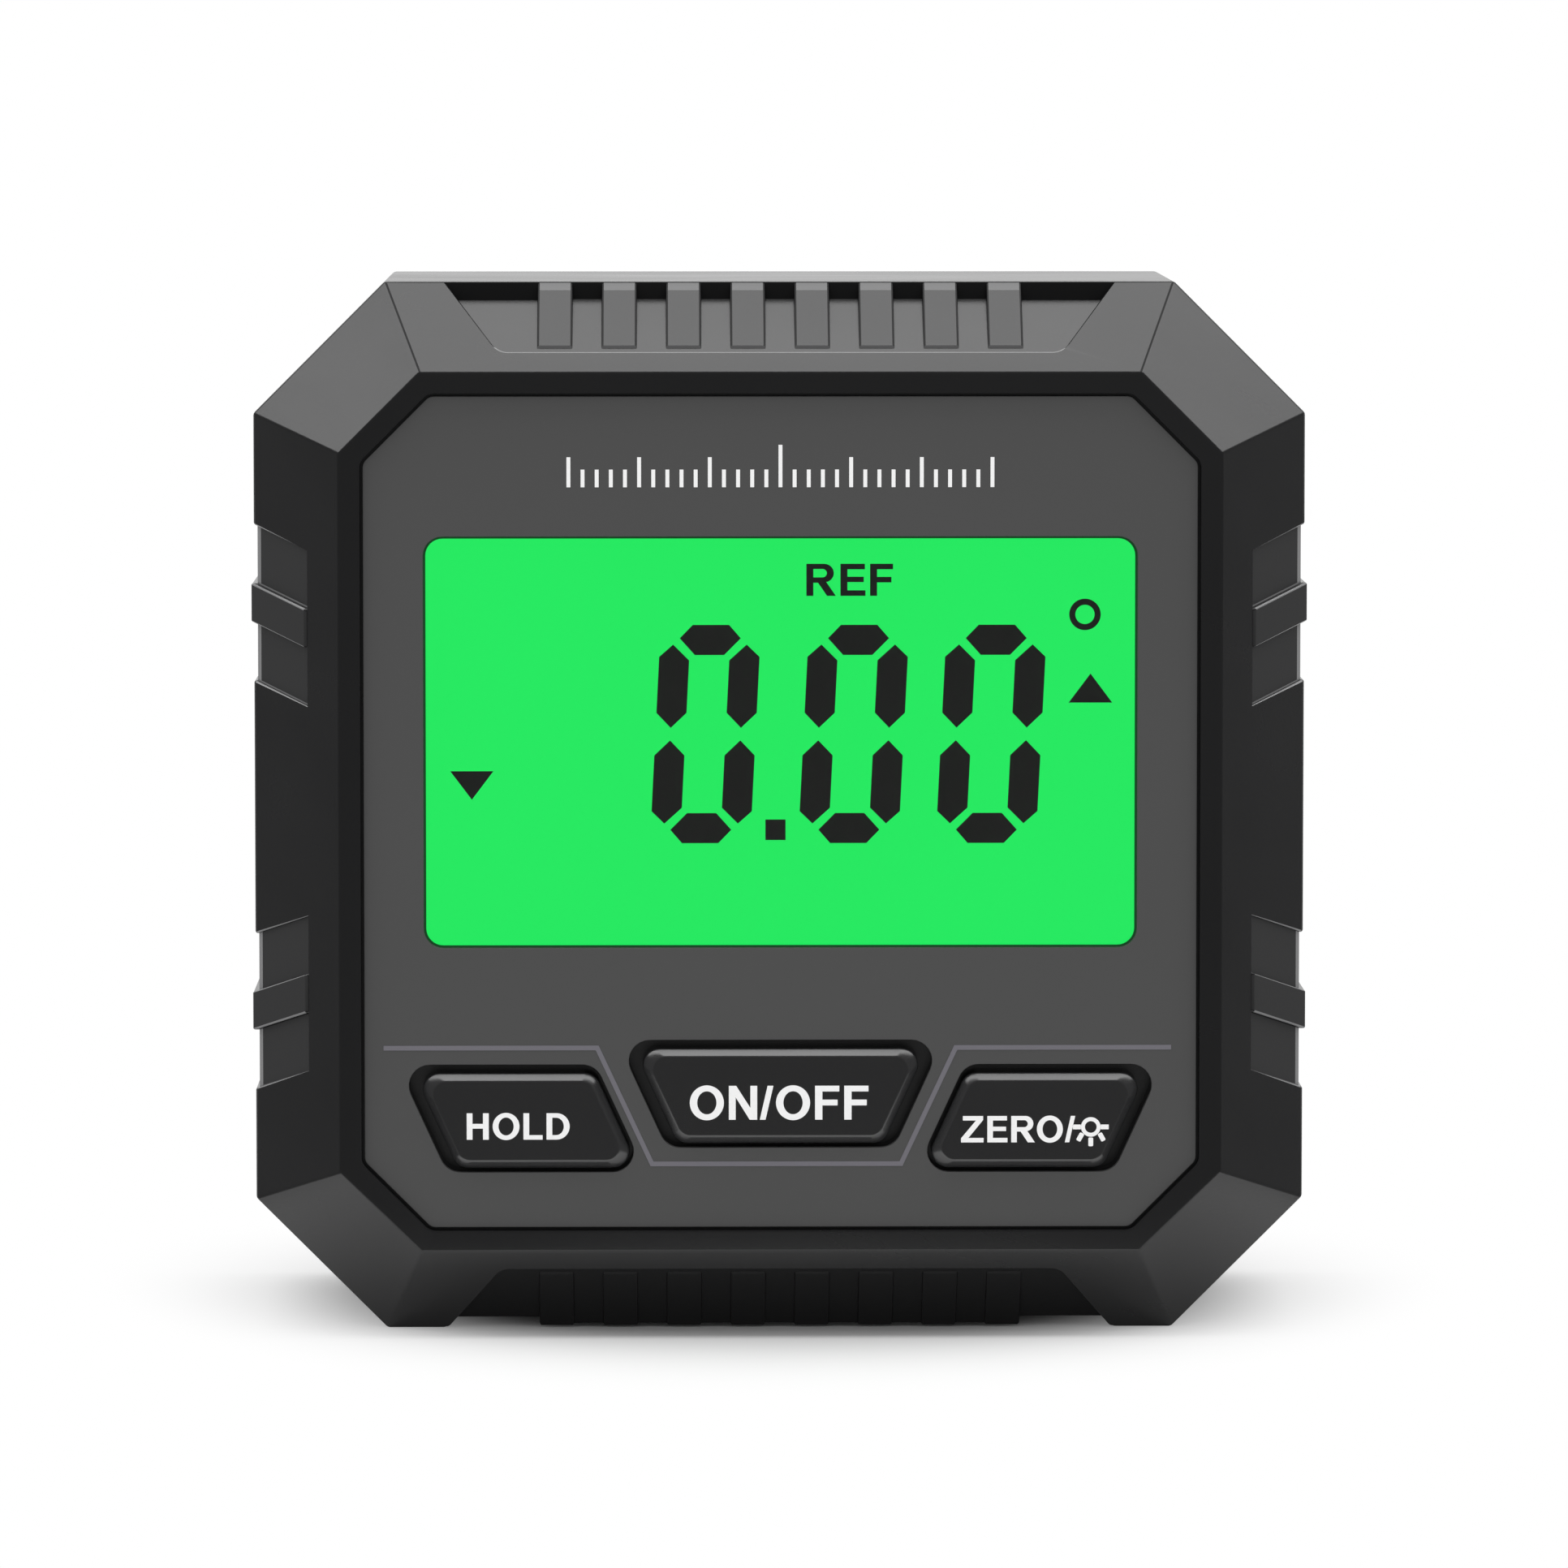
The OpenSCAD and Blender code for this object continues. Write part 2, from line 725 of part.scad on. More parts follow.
module front_shell() {
    color(black_plastic) {
        difference() {
            union() {
                front_skin();
                slice(octagon(shell_wall + tongue_gap), y_edge - root, y_edge + tongue_h);
            }
            slice(rounded(octagon(front_bevel + rim_w), panel_r), y_front - over, y_seat);
            lens_opening(y_seat - over, y_wall);
            cell_pocket();
            key_openings(y_seat - over, y_wall + over);
            slice(octagon(front_side), y_wall, y_edge + tongue_h + over);
        }
        front_bosses();
    }
}

// Rear shell
module rear_skin() {
    difference() {
        rear_block();
        difference() {
            grip_bars(grip_on_side(grip_h), shell_wall);
            rear_block(grip_sink, over);
        }
        difference() {
            slice([
                [-relief_half - over, -over], [relief_half + over, -over],
                [relief_half - relief_h, relief_h], [relief_h - relief_half, relief_h]
            ], y_edge - over, y_rear + over);
            block([-pad_half, y_edge - 2 * over, pad_sink], [pad_half, y_rear + 2 * over, case_h]);
        }
    }
    intersection() {
        rear_block(-ridge_proud);
        grip_bars(grip_on_side(ridge_h), shell_wall / 2);
    }
}

module magnet_spots() {
    for (side = [-1, 1])
        translate([side * magnet_x, magnet_y, 0])
            children();
}

module rear_cavity() {
    intersection() {
        rear_block(shell_wall, over);
        block([-half_w, y_edge - over, 0], [half_w, y_cavity, case_h]);
    }
}

module bay_walls() {
    x = bay_l / 2 + bay_wall;
    z = bay_h / 2 + bay_wall;
    block([-x, y_bay - bay_wall, mid_z - z], [x, y_cavity + root, mid_z + z]);
}

module bay_space() {
    x = bay_l / 2;
    z = bay_h / 2;
    tail_half = tail_w / 2 + tail_slot;
    block([-x, y_bay, mid_z - z], [x, y_cavity, mid_z + z]);
    block([bay_lip - x, y_bay, mid_z - z], [x, y_rear + over, mid_z + z]);
    for (tail_z = [mid_z - cell_rise, mid_z + cell_rise])
        block(
            [x - contact_t - tail_slot, y_board, tail_z - tail_half],
            [x, y_bay + over, tail_z + tail_half]);
}

module door_slot() {
    x = door_x - door_gap;
    z = door_h / 2 + door_gap;
    block([x, y_shelf, mid_z - z], [half_w + over, y_rear + over, mid_z + z]);
    block(
        [x, y_shelf, mid_z - z - rail_w],
        [half_w + over, y_door + rail_t + door_gap, mid_z + z + rail_w]);
}

module rear_shell() {
    cup_low = shell_wall - root;
    magnet_top = magnet_sink + magnet_t;
    color(black_plastic)
        difference() {
            union() {
                difference() {
                    rear_skin();
                    rear_cavity();
                }
                bay_walls();
                for (spot = case_screw_spots)
                    rod(spot, boss_r, y_board, y_cavity + root);
                magnet_spots()
                    translate([0, 0, cup_low])
                        cylinder(h = magnet_top + magnet_wall - cup_low, r = magnet_d / 2 + magnet_wall);
            }
            bay_space();
            door_slot();
            for (spot = case_screw_spots) {
                rod(spot, screw_r + screw_gap, y_board - over, y_rear);
                rod(spot, head_r + screw_gap, screw_seat, y_rear + over);
            }
            magnet_spots()
                translate([0, 0, -over])
                    cylinder(h = magnet_top + over, r = magnet_d / 2 + magnet_gap);
        }
}

// Face panel and display
module face_panel() {
    color(panel_grey)
        difference() {
            slice(rounded(octagon(front_bevel + rim_w + panel_gap), panel_r - panel_gap), y_panel, y_seat);
            window_opening(y_panel - over, y_seat + over);
            key_openings(y_panel - over, y_seat + over);
        }
}

module display_window() {
    color("#c8f5d6", 0.4)
        slice(rounded(rectangle(lens_w, lens_h, window_z), lens_r), y_seat, y_seat + lens_t);
}

module display_gasket() {
    color("#18181a")
        difference() {
            slice(rectangle(cell_w, cell_h, cell_mid), y_ledge, y_cell_front);
            lens_opening(y_ledge - over, y_cell_front + over);
        }
}

// Two bonded glasses, of which the rear one carries the contacts on its upper border
module display_cell() {
    front_top = cell_top - strip_w;
    color("#2be862") {
        block([-cell_w / 2, y_cell_front, cell_low], [cell_w / 2, y_cell_back, front_top]);
        block([-cell_w / 2, y_cell_front + glass_t, cell_low], [cell_w / 2, y_cell_back, cell_top]);
    }
}

module light_guide() {
    color("#d8ffe4")
        slice(
            rectangle(guide_w, guide_h, window_z),
            y_cell_back, y_board - reflector_t);
}

module reflector_sheet() {
    color("white")
        slice(rectangle(guide_w, guide_h, window_z), y_board - reflector_t, y_board);
}

// Lamps at the two ends of the light guide
module lamp_spaces(gap) {
    x = guide_w / 2 + frame_gap;
    both_sides()
        block(
            [x - gap, y_cell_back - gap, window_z - lamp_w / 2 - gap],
            [x + lamp_t + gap, y_board + gap, window_z + lamp_w / 2 + gap]);
}

module edge_lamps() {
    color("#f4ffd0")
        lamp_spaces(0);
}

module display_frame() {
    hole_w = guide_w + 2 * frame_gap;
    hole_h = guide_h + 2 * frame_gap;
    color("#f0f0ec")
        difference() {
            block([-frame_half, y_cell_back, frame_low], [frame_half, y_board, frame_top]);
            slice(rectangle(hole_w, hole_h, window_z), y_cell_back - over, y_board + over);
            lamp_spaces(frame_gap);
            block(
                [-strip_l / 2 - frame_gap, y_cell_back - over, strip_top - strip_w - frame_gap],
                [strip_l / 2 + frame_gap, y_board + over, strip_top + frame_gap]);
        }
}

module contact_strip() {
    color("#3a3a3d")
        block([-strip_l / 2, y_cell_back, strip_top - strip_w], [strip_l / 2, y_board, strip_top]);
}

// Circuit board and its parts
module circuit_board() {
    outline = [
        [-board_half, frame_top], [-board_half, board_flank], [-board_foot, board_shoulder],
        [-board_foot, board_z], [board_foot, board_z], [board_foot, board_shoulder],
        [board_half, board_flank], [board_half, frame_top]
    ];
    color("#1f6b3a")
        difference() {
            slice(outline, y_board, y_board_back);
            for (spot = board_screw_spots)
                rod(spot, small_r + 2 * screw_gap, y_board - over, y_board_back + over);
        }
}

chip_lead_n = 8;
chip_lead_w = 0.4;
chip_lead_t = 0.2;
chip_lead_l = 1;

// Moulded package with a row of flat leads on each side, on the back of the board
module chip(spot, side, thick) {
    pitch = (side - chip_lead_w) / chip_lead_n;
    translate([spot.x, y_board_back, spot.y]) {
        slice(rectangle(side, side, 0), 0, thick);
        for (turn = [0 : 90 : 270], i = [0 : chip_lead_n - 1])
            rotate([0, turn, 0])
                translate([side / 2, 0, (i - (chip_lead_n - 1) / 2) * pitch])
                    block([-root, 0, -chip_lead_w / 2], [chip_lead_l, chip_lead_t, chip_lead_w / 2]);
    }
}

module tilt_sensor() {
    color("#303034")
        chip(sensor_spot, sensor_s, sensor_t);
}

module controller_chip() {
    color("#202024")
        chip(chip_spot, chip_s, chip_t);
}

// Switch on the board's front, with a bore for its stem and a lead at each corner
module switch_body(spot) {
    lead_l = 0.9;
    lead_w = 0.7;
    lead_t = 0.25;
    lead_z = switch_s / 2 - lead_w;
    color(steel)
        difference() {
            union() {
                translate([spot.x, 0, spot.y])
                    slice(rectangle(switch_s, switch_s, 0), y_switch, y_board);
                for (side = [-1, 1], end = [-1, 1])
                    translate([spot.x + side * (switch_s + lead_l - root) / 2, 0, spot.y + end * lead_z])
                        slice(rectangle(lead_l + root, lead_w, 0), y_board - lead_t, y_board);
            }
            rod(spot, stem_d / 2 + stem_gap, y_switch - over, y_switch + stem_in + key_travel + stem_room);
        }
}

module hold_switch() {
    switch_body(hold_centre);
}

module power_switch() {
    switch_body(power_centre);
}

module zero_switch() {
    switch_body(zero_centre);
}

module stem(spot) {
    color("#3c3c40")
        rod(spot, stem_d / 2, y_flange + flange_t, y_switch + stem_in);
}

module hold_stem() {
    stem(hold_centre);
}

module power_stem() {
    stem(power_centre);
}

module zero_stem() {
    stem(zero_centre);
}

// Key with a bevelled face and a flange behind the front wall
module key(hole, gaps, laps) {
    cap_r = key_r - key_gap_inner;
    cap = drawn_in(hole, gaps);
    face = drawn_in(cap, [for (g = gaps) key_bevel]);
    flange = drawn_in(hole, -laps);
    side = rounded(cap, cap_r);
    y_end = y_flange + flange_t;
    color(key_plastic) {
        loft([rounded(face, cap_r - key_bevel / 2), side, side], [y_key, y_key + key_bevel, y_end]);
        slice(rounded(flange, key_r), y_flange, y_end);
    }
}

module hold_button() {
    key(hold_hole, hold_gaps, hold_laps);
}

module power_button() {
    key(power_hole, power_gaps, power_laps);
}

module zero_button() {
    mirror([1, 0, 0])
        key(hold_hole, hold_gaps, hold_laps);
}

// Battery bay contents

// Round cell along x with its button towards -x
module cell() {
    r = cell_d / 2;
    can_l = cell_l - button_l;
    edge = 0.4;
    step = 0.25;
    rotate([0, -90, 0])
        rotate_extrude()
            polygon([
                [0, -can_l / 2], [r - 3 * edge, -can_l / 2], [r - 2 * edge, -can_l / 2 + step],
                [r - edge, -can_l / 2], [r, edge - can_l / 2], [r, can_l / 2 - edge],
                [r - edge, can_l / 2], [r - 2 * edge, can_l / 2 - step], [button_d / 2, can_l / 2 - step],
                [button_d / 2, can_l / 2 + button_l - step], [button_d / 2 - step, can_l / 2 + button_l],
                [0, can_l / 2 + button_l]
            ]);
}

// Middle of a cell's can when its button rests on a pad at the -x end
cell_shift = -bay_l / 2 + contact_t + pad_h + button_l + (cell_l - button_l) / 2;

module upper_cell() {
    color("#8c9096")
        translate([cell_shift, y_battery, mid_z + cell_rise])
            cell();
}

module lower_cell() {
    color("#8c9096")
        translate([-cell_shift, y_battery, mid_z - cell_rise])
            mirror([1, 0, 0])
                cell();
}

plate_half = cell_d / 2 - plate_in;

// Flat contact plate at the +x end, at height z
module contact_plate(z) {
    block(
        [bay_l / 2 - contact_t, y_battery - plate_half, z - plate_half],
        [bay_l / 2, y_battery + plate_half, z + plate_half]);
}

module contact_pad(z) {
    translate([bay_l / 2 - contact_t - pad_h, y_battery, z])
        rotate([0, 90, 0])
            cylinder(h = pad_h + contact_t / 2, d = pad_d);
}

// Tail that takes a contact through the bay floor to the back of the board
module contact_tail(z) {
    block(
        [bay_l / 2 - contact_t, y_board_back, z - tail_w / 2],
        [bay_l / 2, y_battery, z + tail_w / 2]);
}

module positive_contact() {
    z = mid_z - cell_rise;
    color(steel) {
        contact_plate(z);
        contact_pad(z);
        contact_tail(z);
    }
}

module negative_contact() {
    z = mid_z + cell_rise;
    color(steel) {
        contact_plate(z);
        contact_tail(z);
    }
}

module bridge_contact() {
    color(steel)
        mirror([1, 0, 0]) {
            contact_pad(mid_z + cell_rise);
            block(
                [bay_l / 2 - contact_t, y_battery - plate_half, mid_z - cell_rise - plate_half],
                [bay_l / 2, y_battery + plate_half, mid_z + cell_rise + plate_half]);
        }
}

// Conical coil whose wide end stands on the +x contact plate, at height z
spring_sides = 8;
spring_steps = 14;

function spring_ring(t) = let (
    angle = 360 * spring_turns * t,
    r = spring_wide + (spring_narrow - spring_wide) * t,
    travel = spring_l - 2 * spring_wire,
    x = bay_l / 2 - contact_t - spring_wire - travel * t
) [
    for (k = [0 : spring_sides - 1]) let (
        a = 360 * k / spring_sides,
        out = r + spring_wire * cos(a)
    ) [x + spring_wire * sin(a), y_battery + out * cos(angle), out * sin(angle)]
];

module coil_spring(z) {
    rings = spring_steps * spring_turns;
    n = spring_sides;
    points = [for (i = [0 : rings]) each spring_ring(i / rings)];
    translate([0, 0, z])
        polyhedron(
            points = points,
            faces = [
                [for (k = [0 : n - 1]) k],
                [for (k = [n - 1 : -1 : 0]) rings * n + k],
                for (i = [0 : rings - 1], k = [0 : n - 1]) let (
                    a = i * n + k,
                    b = i * n + (k + 1) % n
                ) each [[b, a, a + n], [b, a + n, b + n]]
            ]
        );
}

module negative_spring() {
    color(steel)
        coil_spring(mid_z + cell_rise);
}

module bridge_spring() {
    color(steel)
        mirror([1, 0, 0])
            coil_spring(mid_z - cell_rise);
}

// Battery door: slides off towards +x on a tongue along each long edge
thumb_w = 0.9;
thumb_x = 5;
arrow_l = 5;
arrow_gap = 4;

module battery_door() {
    z = door_h / 2;
    z_rail = z + rail_w;
    arrow_x = door_x + thumb_x + thumb_n * thumb_pitch + arrow_gap;
    color(black_plastic)
        difference() {
            intersection() {
                rear_block();
                union() {
                    block([door_x, y_door, mid_z - z], [half_w, y_rear, mid_z + z]);
                    block([door_x, y_door, mid_z - z_rail], [half_w, y_door + rail_t, mid_z + z_rail]);
                }
            }
            for (i = [0 : thumb_n - 1])
                translate([door_x + thumb_x + i * thumb_pitch, 0, mid_z])
                    slice(rectangle(thumb_w, thumb_l, 0), y_rear - thumb_deep, y_rear + over);
            slice([
                [arrow_x, mid_z + arrow_l / 2],
                [arrow_x, mid_z - arrow_l / 2],
                [arrow_x + arrow_l, mid_z]
            ], y_rear - thumb_deep, y_rear + over);
        }
}

// Magnets and screws
module magnet(side) {
    color(steel)
        translate([side * magnet_x, magnet_y, magnet_sink])
            cylinder(h = magnet_t, d = magnet_d);
}

module left_magnet() {
    magnet(-1);
}

module right_magnet() {
    magnet(1);
}

// Cross recess of a screw head as shares of the head's radius
cross_arm = 0.6;
cross_width = 0.35;

// Screw along y with its head towards +y and a cross recess
module screw(spot, r, r_head, h_head, length, seat) {
    cross = rectangle(2 * cross_arm * r_head, cross_width * r_head, 0);
    difference() {
        union() {
            rod(spot, r, seat - length, seat + root);
            rod(spot, r_head, seat, seat + h_head);
        }
        for (turn = [0, 90])
            translate([spot.x, 0, spot.y])
                rotate([0, turn, 0])
                    slice(cross, seat + h_head / 2, seat + h_head + over);
    }
}

module case_screws() {
    color(steel)
        for (spot = case_screw_spots)
            screw(spot, screw_r, head_r, head_h, screw_l, screw_seat);
}

module board_screws() {
    color(steel)
        for (spot = board_screw_spots)
            screw(spot, small_r, small_head_r, small_head_h, small_l, y_board_back);
}

front_shell();
rear_shell();
face_panel();
display_window();
display_gasket();
display_cell();
light_guide();
reflector_sheet();
edge_lamps();
display_frame();
contact_strip();
circuit_board();
tilt_sensor();
controller_chip();
hold_switch();
power_switch();
zero_switch();
hold_stem();
power_stem();
zero_stem();
hold_button();
power_button();
zero_button();
upper_cell();
lower_cell();
bridge_contact();
positive_contact();
negative_contact();
bridge_spring();
negative_spring();
battery_door();
left_magnet();
right_magnet();
case_screws();
board_screws();
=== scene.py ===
"""Looks of a digital angle gauge: case, face panel, display, keys, battery bay and studio."""
import logging
import math
from collections.abc import Callable, Iterable
from dataclasses import dataclass
from enum import Enum
from functools import partial

import bmesh
import bpy
from mathutils import Matrix, Vector


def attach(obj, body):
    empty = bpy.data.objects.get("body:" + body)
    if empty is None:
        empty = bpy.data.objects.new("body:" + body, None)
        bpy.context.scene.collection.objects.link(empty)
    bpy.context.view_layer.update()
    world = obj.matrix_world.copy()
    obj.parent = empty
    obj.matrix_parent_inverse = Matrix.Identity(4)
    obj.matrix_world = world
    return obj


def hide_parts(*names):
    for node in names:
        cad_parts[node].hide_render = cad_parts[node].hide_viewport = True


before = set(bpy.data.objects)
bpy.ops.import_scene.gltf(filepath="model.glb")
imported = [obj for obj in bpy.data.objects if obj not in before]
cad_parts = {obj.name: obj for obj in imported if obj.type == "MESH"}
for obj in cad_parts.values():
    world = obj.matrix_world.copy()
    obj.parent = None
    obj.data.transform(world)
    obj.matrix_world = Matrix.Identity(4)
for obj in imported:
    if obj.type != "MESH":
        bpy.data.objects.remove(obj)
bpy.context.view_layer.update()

MM = 0.001
FAR = math.inf
MERGE_REACH = 0.5e-6
CUT_REACH = 0.1e-6
FLAT_ANGLE = math.radians(0.5)
CREASE_ANGLE = math.radians(31)
WIPE_ANGLE = math.radians(24)
# Faces with this mark take the grip colour: the grip texture of the case, and a painted highlight
# on the sloping edges of the keys.
GRIP_AND_SLOPE_HIGHLIGHT_MARK = "grip_texture_and_slope_highlight"
# Faces with this mark take a pale colour: a painted highlight on rounded edges, rib ends and grip
# strips.
HIGHLIGHT_MARK = "painted_edge_highlight"

Point = tuple[float, float]
Place = tuple[float, float, float]
Box = tuple[float, float, float, float]
Loop = list[Point]
Colour = tuple[float, float, float]
Inputs = dict[str | int, object]
Face = bmesh.types.BMFace
Shape = bmesh.types.BMesh
Material = bpy.types.Material
Mesh = bpy.types.Mesh
Node = bpy.types.Node
Piece = bpy.types.Object
Polygon = bpy.types.MeshPolygon
Socket = bpy.types.NodeSocket

WHITE: Colour = (1.0, 1.0, 1.0)
BLACK: Colour = (0.0, 0.0, 0.0)
NO_NORMAL = Vector()

log = logging.getLogger("angle_gauge")


class Body(Enum):
    """Moving bodies of the gauge."""

    CASE = "case"
    HOLD = "hold_key"
    POWER = "power_key"
    ZERO = "zero_key"
    DOOR = "door"


class Effect(Enum):
    """Shader node groups that several finishes share."""

    GRAIN = "moulded_grain"
    WIPE = "wipe_marks"


def tone(*levels: int) -> Colour:
    """Turns a screen colour into linear light by the sRGB curve.

    Args:
        *levels: Red, green and blue, 0 to 255.

    Returns:
        The linear colour.
    """
    shares = (level / 255 for level in levels)
    return tuple(s / 12.92 if s <= 0.04045 else ((s + 0.055) / 1.055) ** 2.4 for s in shares)


def shaded(colour: Colour, share: float) -> Colour:
    """Returns a colour made lighter or darker by a share of its light."""
    return tuple(min(1.0, value * share) for value in colour)


def inside(value: float, limits: Point) -> bool:
    """Tells whether a value lies between two limits."""
    return limits[0] < value < limits[1]


class Wiring:
    """A node tree with short calls that add and join nodes."""

    def __init__(self, tree: bpy.types.NodeTree) -> None:
        """Keeps the tree and empties it."""
        self.tree = tree
        tree.nodes.clear()

    def add(self, kind: str, inputs: Inputs | None = None, **settings: object) -> Node:
        """Adds a node.

        Args:
            kind: Blender's name for the node type.
            inputs: A socket to link, a colour, a vector or a number for each input.
            **settings: Properties of the node.

        Returns:
            The new node.
        """
        node = self.tree.nodes.new(kind)
        for name, value in settings.items():
            setattr(node, name, value)
        for key, value in (inputs or {}).items():
            target = node.inputs[key]
            if isinstance(value, Socket):
                self.join(value, target)
            else:
                target.default_value = (*value, 1) if target.type == "RGBA" else value
        return node

    def join(self, source: Socket, target: Socket) -> None:
        """Links an output to an input."""
        self.tree.links.new(source, target)

    def effect(self, effect: Effect, **inputs: float) -> Node:
        """Places a shared node group with values for its inputs."""
        values = {name.capitalize(): value for name, value in inputs.items()}
        return self.add("ShaderNodeGroup", values, node_tree=bpy.data.node_groups[effect.value])

    def math(self, operation: str, first: object, second: object) -> Socket:
        """Returns a sum of two values, each a socket or a number."""
        return self.add("ShaderNodeMath", {0: first, 1: second}, operation=operation).outputs[0]

    def spread(
        self, value: Socket, low: float = 0.0, high: float = 1.0,
        start: object = 0.0, end: float = 1.0, way: str = "LINEAR",
    ) -> Socket:
        """Maps a range onto another.

        Args:
            value: The value to map.
            low: Result at the start of the range.
            high: Result at its end.
            start: Start of the range, a socket or a number.
            end: End of the range.
            way: Blender's name for the course between them.

        Returns:
            The result.
        """
        values = {"Value": value, "From Min": start, "From Max": end, "To Min": low, "To Max": high}
        return self.add("ShaderNodeMapRange", values, interpolation_type=way).outputs["Result"]

    def uneven(self, value: Socket, middle: float, share: float) -> Socket:
        """Returns a number that a value from 0 to 1 varies by a share either way."""
        return self.spread(value, middle * (1 - share), middle * (1 + share))

    def mix(self, share: Socket, first: object, second: object, kind: str = "RGBA") -> Socket:
        """Mixes two colours or two values.

        Args:
            share: Share of the second one.
            first: Colour, number or socket at 0.
            second: Colour, number or socket at 1.
            kind: Blender's name for the kind of data.

        Returns:
            The mix.
        """
        start, end, result = {"FLOAT": (2, 3, 0), "RGBA": (6, 7, 2)}[kind]
        node = self.add("ShaderNodeMix", {0: share, start: first, end: second}, data_type=kind)
        return node.outputs[result]

    def mottled(self, grain: Node, colour: Colour, shades: Point) -> Socket:
        """Returns a colour that the mottle of a grain makes darker and lighter."""
        return self.mix(grain.outputs["Mottle"], *(shaded(colour, share) for share in shades))

    def place(self) -> Socket:
        """Returns the place of a shaded point in its piece."""
        return self.add("ShaderNodeTexCoord").outputs["Object"]

    def mark(self, name: str) -> Socket:
        """Returns the mark that a face carries."""
        return self.add("ShaderNodeAttribute", attribute_name=name).outputs["Fac"]

    def noise(self, vector: Socket, scale: Socket, detail: float) -> Socket:
        """Returns noise of a scale and a number of octaves."""
        values = {"Vector": vector, "Scale": scale, "Detail": detail}
        return self.add("ShaderNodeTexNoise", values).outputs["Fac"]

    def bump(self, height: Socket, strength: float, depth: float) -> Socket:
        """Returns the normal of a bump."""
        values = {"Height": height, "Strength": strength, "Distance": depth}
        return self.add("ShaderNodeBump", values).outputs["Normal"]


class SharedEffects:
    """Builds the node groups that the finishes place with their own values."""

    def build(self) -> None:
        """Builds every group once."""
        self._grain()
        self._wipe()

    def _group(
        self, effect: Effect, inputs: dict[str, float], outputs: Iterable[str]
    ) -> tuple[Wiring, Node, Node]:
        """Starts a group with its sockets.

        Args:
            effect: Name of the group.
            inputs: Value inputs with their defaults.
            outputs: Names of the value outputs.

        Returns:
            The group's wiring, its input node and its output node.
        """
        tree = bpy.data.node_groups.new(effect.value, "ShaderNodeTree")
        for name, value in inputs.items():
            socket = tree.interface.new_socket(name, in_out="INPUT", socket_type="NodeSocketFloat")
            socket.default_value = value
        for name in outputs:
            tree.interface.new_socket(name, in_out="OUTPUT", socket_type="NodeSocketFloat")
        wires = Wiring(tree)
        return wires, wires.add("NodeGroupInput"), wires.add("NodeGroupOutput")

    def _grain(self) -> None:
        """Fine spark-eroded grain of a mould and the slow mottle of the resin."""
        wires, entry, result = self._group(
            Effect.GRAIN, {"Fine": 5000.0, "Slow": 90.0}, ("Height", "Mottle"))
        place = wires.place()
        for scale, detail, output in (("Fine", 2.0, "Height"), ("Slow", 4.0, "Mottle")):
            noise = wires.noise(place, entry.outputs[scale], detail)
            wires.join(noise, result.inputs[output])

    def _wipe(self) -> None:
        """Faint streaks where a cloth has gone over a surface."""
        wires, entry, result = self._group(
            Effect.WIPE, {"Scale": 160.0, "Length": 6.0}, ("Streak",))
        shape = wires.add(
            "ShaderNodeCombineXYZ", {"X": entry.outputs["Length"], "Y": 1.0, "Z": 1.0})
        turned = {
            "Vector": wires.place(), "Scale": shape.outputs["Vector"],
            "Rotation": (0.0, WIPE_ANGLE, 0.0),
        }
        stretch = wires.add("ShaderNodeMapping", turned, vector_type="TEXTURE")
        noise = wires.noise(stretch.outputs["Vector"], entry.outputs["Scale"], 5.0)
        wires.join(noise, result.inputs["Streak"])


@dataclass(frozen=True)
class Finish:
    """A material with one Principled shader."""

    name: str

    def inputs(self, wires: Wiring) -> Inputs:
        """Returns the shader's inputs, which each kind of finish wires in its own way."""
        raise NotImplementedError

    def build(self) -> Material:
        """Builds the material.

        Returns:
            The material.
        """
        material = bpy.data.materials.new(self.name)
        material.use_nodes = True
        wires = Wiring(material.node_tree)
        shader = wires.add("ShaderNodeBsdfPrincipled", self.inputs(wires))
        wires.add("ShaderNodeOutputMaterial", {"Surface": shader.outputs["BSDF"]})
        return material


@dataclass(frozen=True)
class GrainedFinish(Finish):
    """Moulded plastic, film, foam or ink: a mottled colour under a fine grain.

    Faces that carry the grip mark are rougher and take the grip colour, a painted highlight on the
    sloping edges of the keys. Faces that carry the edge mark take a pale colour, a painted
    highlight.
    """

    colour: Colour
    roughness: float
    specular: float
    grain: float = 0.12
    fine: float = 5000.0
    depth: float = 0.03 * MM
    mottle: float = 0.12
    streak: float = 0.06
    grip: Colour | None = None
    grip_rough: float = 0.25
    highlight_colour: Colour | None = None
    ior: float = 1.5

    def inputs(self, wires: Wiring) -> Inputs:
        """Wires the shader's inputs.

        Args:
            wires: Wiring of the material.

        Returns:
            Values and sockets by name.
        """
        grain = wires.effect(Effect.GRAIN, fine=self.fine)
        streak = wires.effect(Effect.WIPE).outputs["Streak"]
        colour = wires.mottled(grain, self.colour, (1 - self.mottle, 1 + self.mottle))
        rough = wires.spread(streak, self.roughness - self.streak, self.roughness + self.streak)
        # The grip colour is the case's grip texture and the keys' painted slope highlight.
        if self.grip is not None:
            mark = wires.mark(GRIP_AND_SLOPE_HIGHLIGHT_MARK)
            colour = wires.mix(mark, colour, self.grip)
            rough = wires.math("ADD", rough, wires.math("MULTIPLY", mark, self.grip_rough))
        # Painted highlight: faces with the edge mark take the pale highlight colour.
        if self.highlight_colour is not None:
            colour = wires.mix(wires.mark(HIGHLIGHT_MARK), colour, self.highlight_colour)
        return {
            "Base Color": colour, "Roughness": rough, "IOR": self.ior,
            "Specular IOR Level": self.specular,
            "Normal": wires.bump(grain.outputs["Height"], self.grain, self.depth),
        }


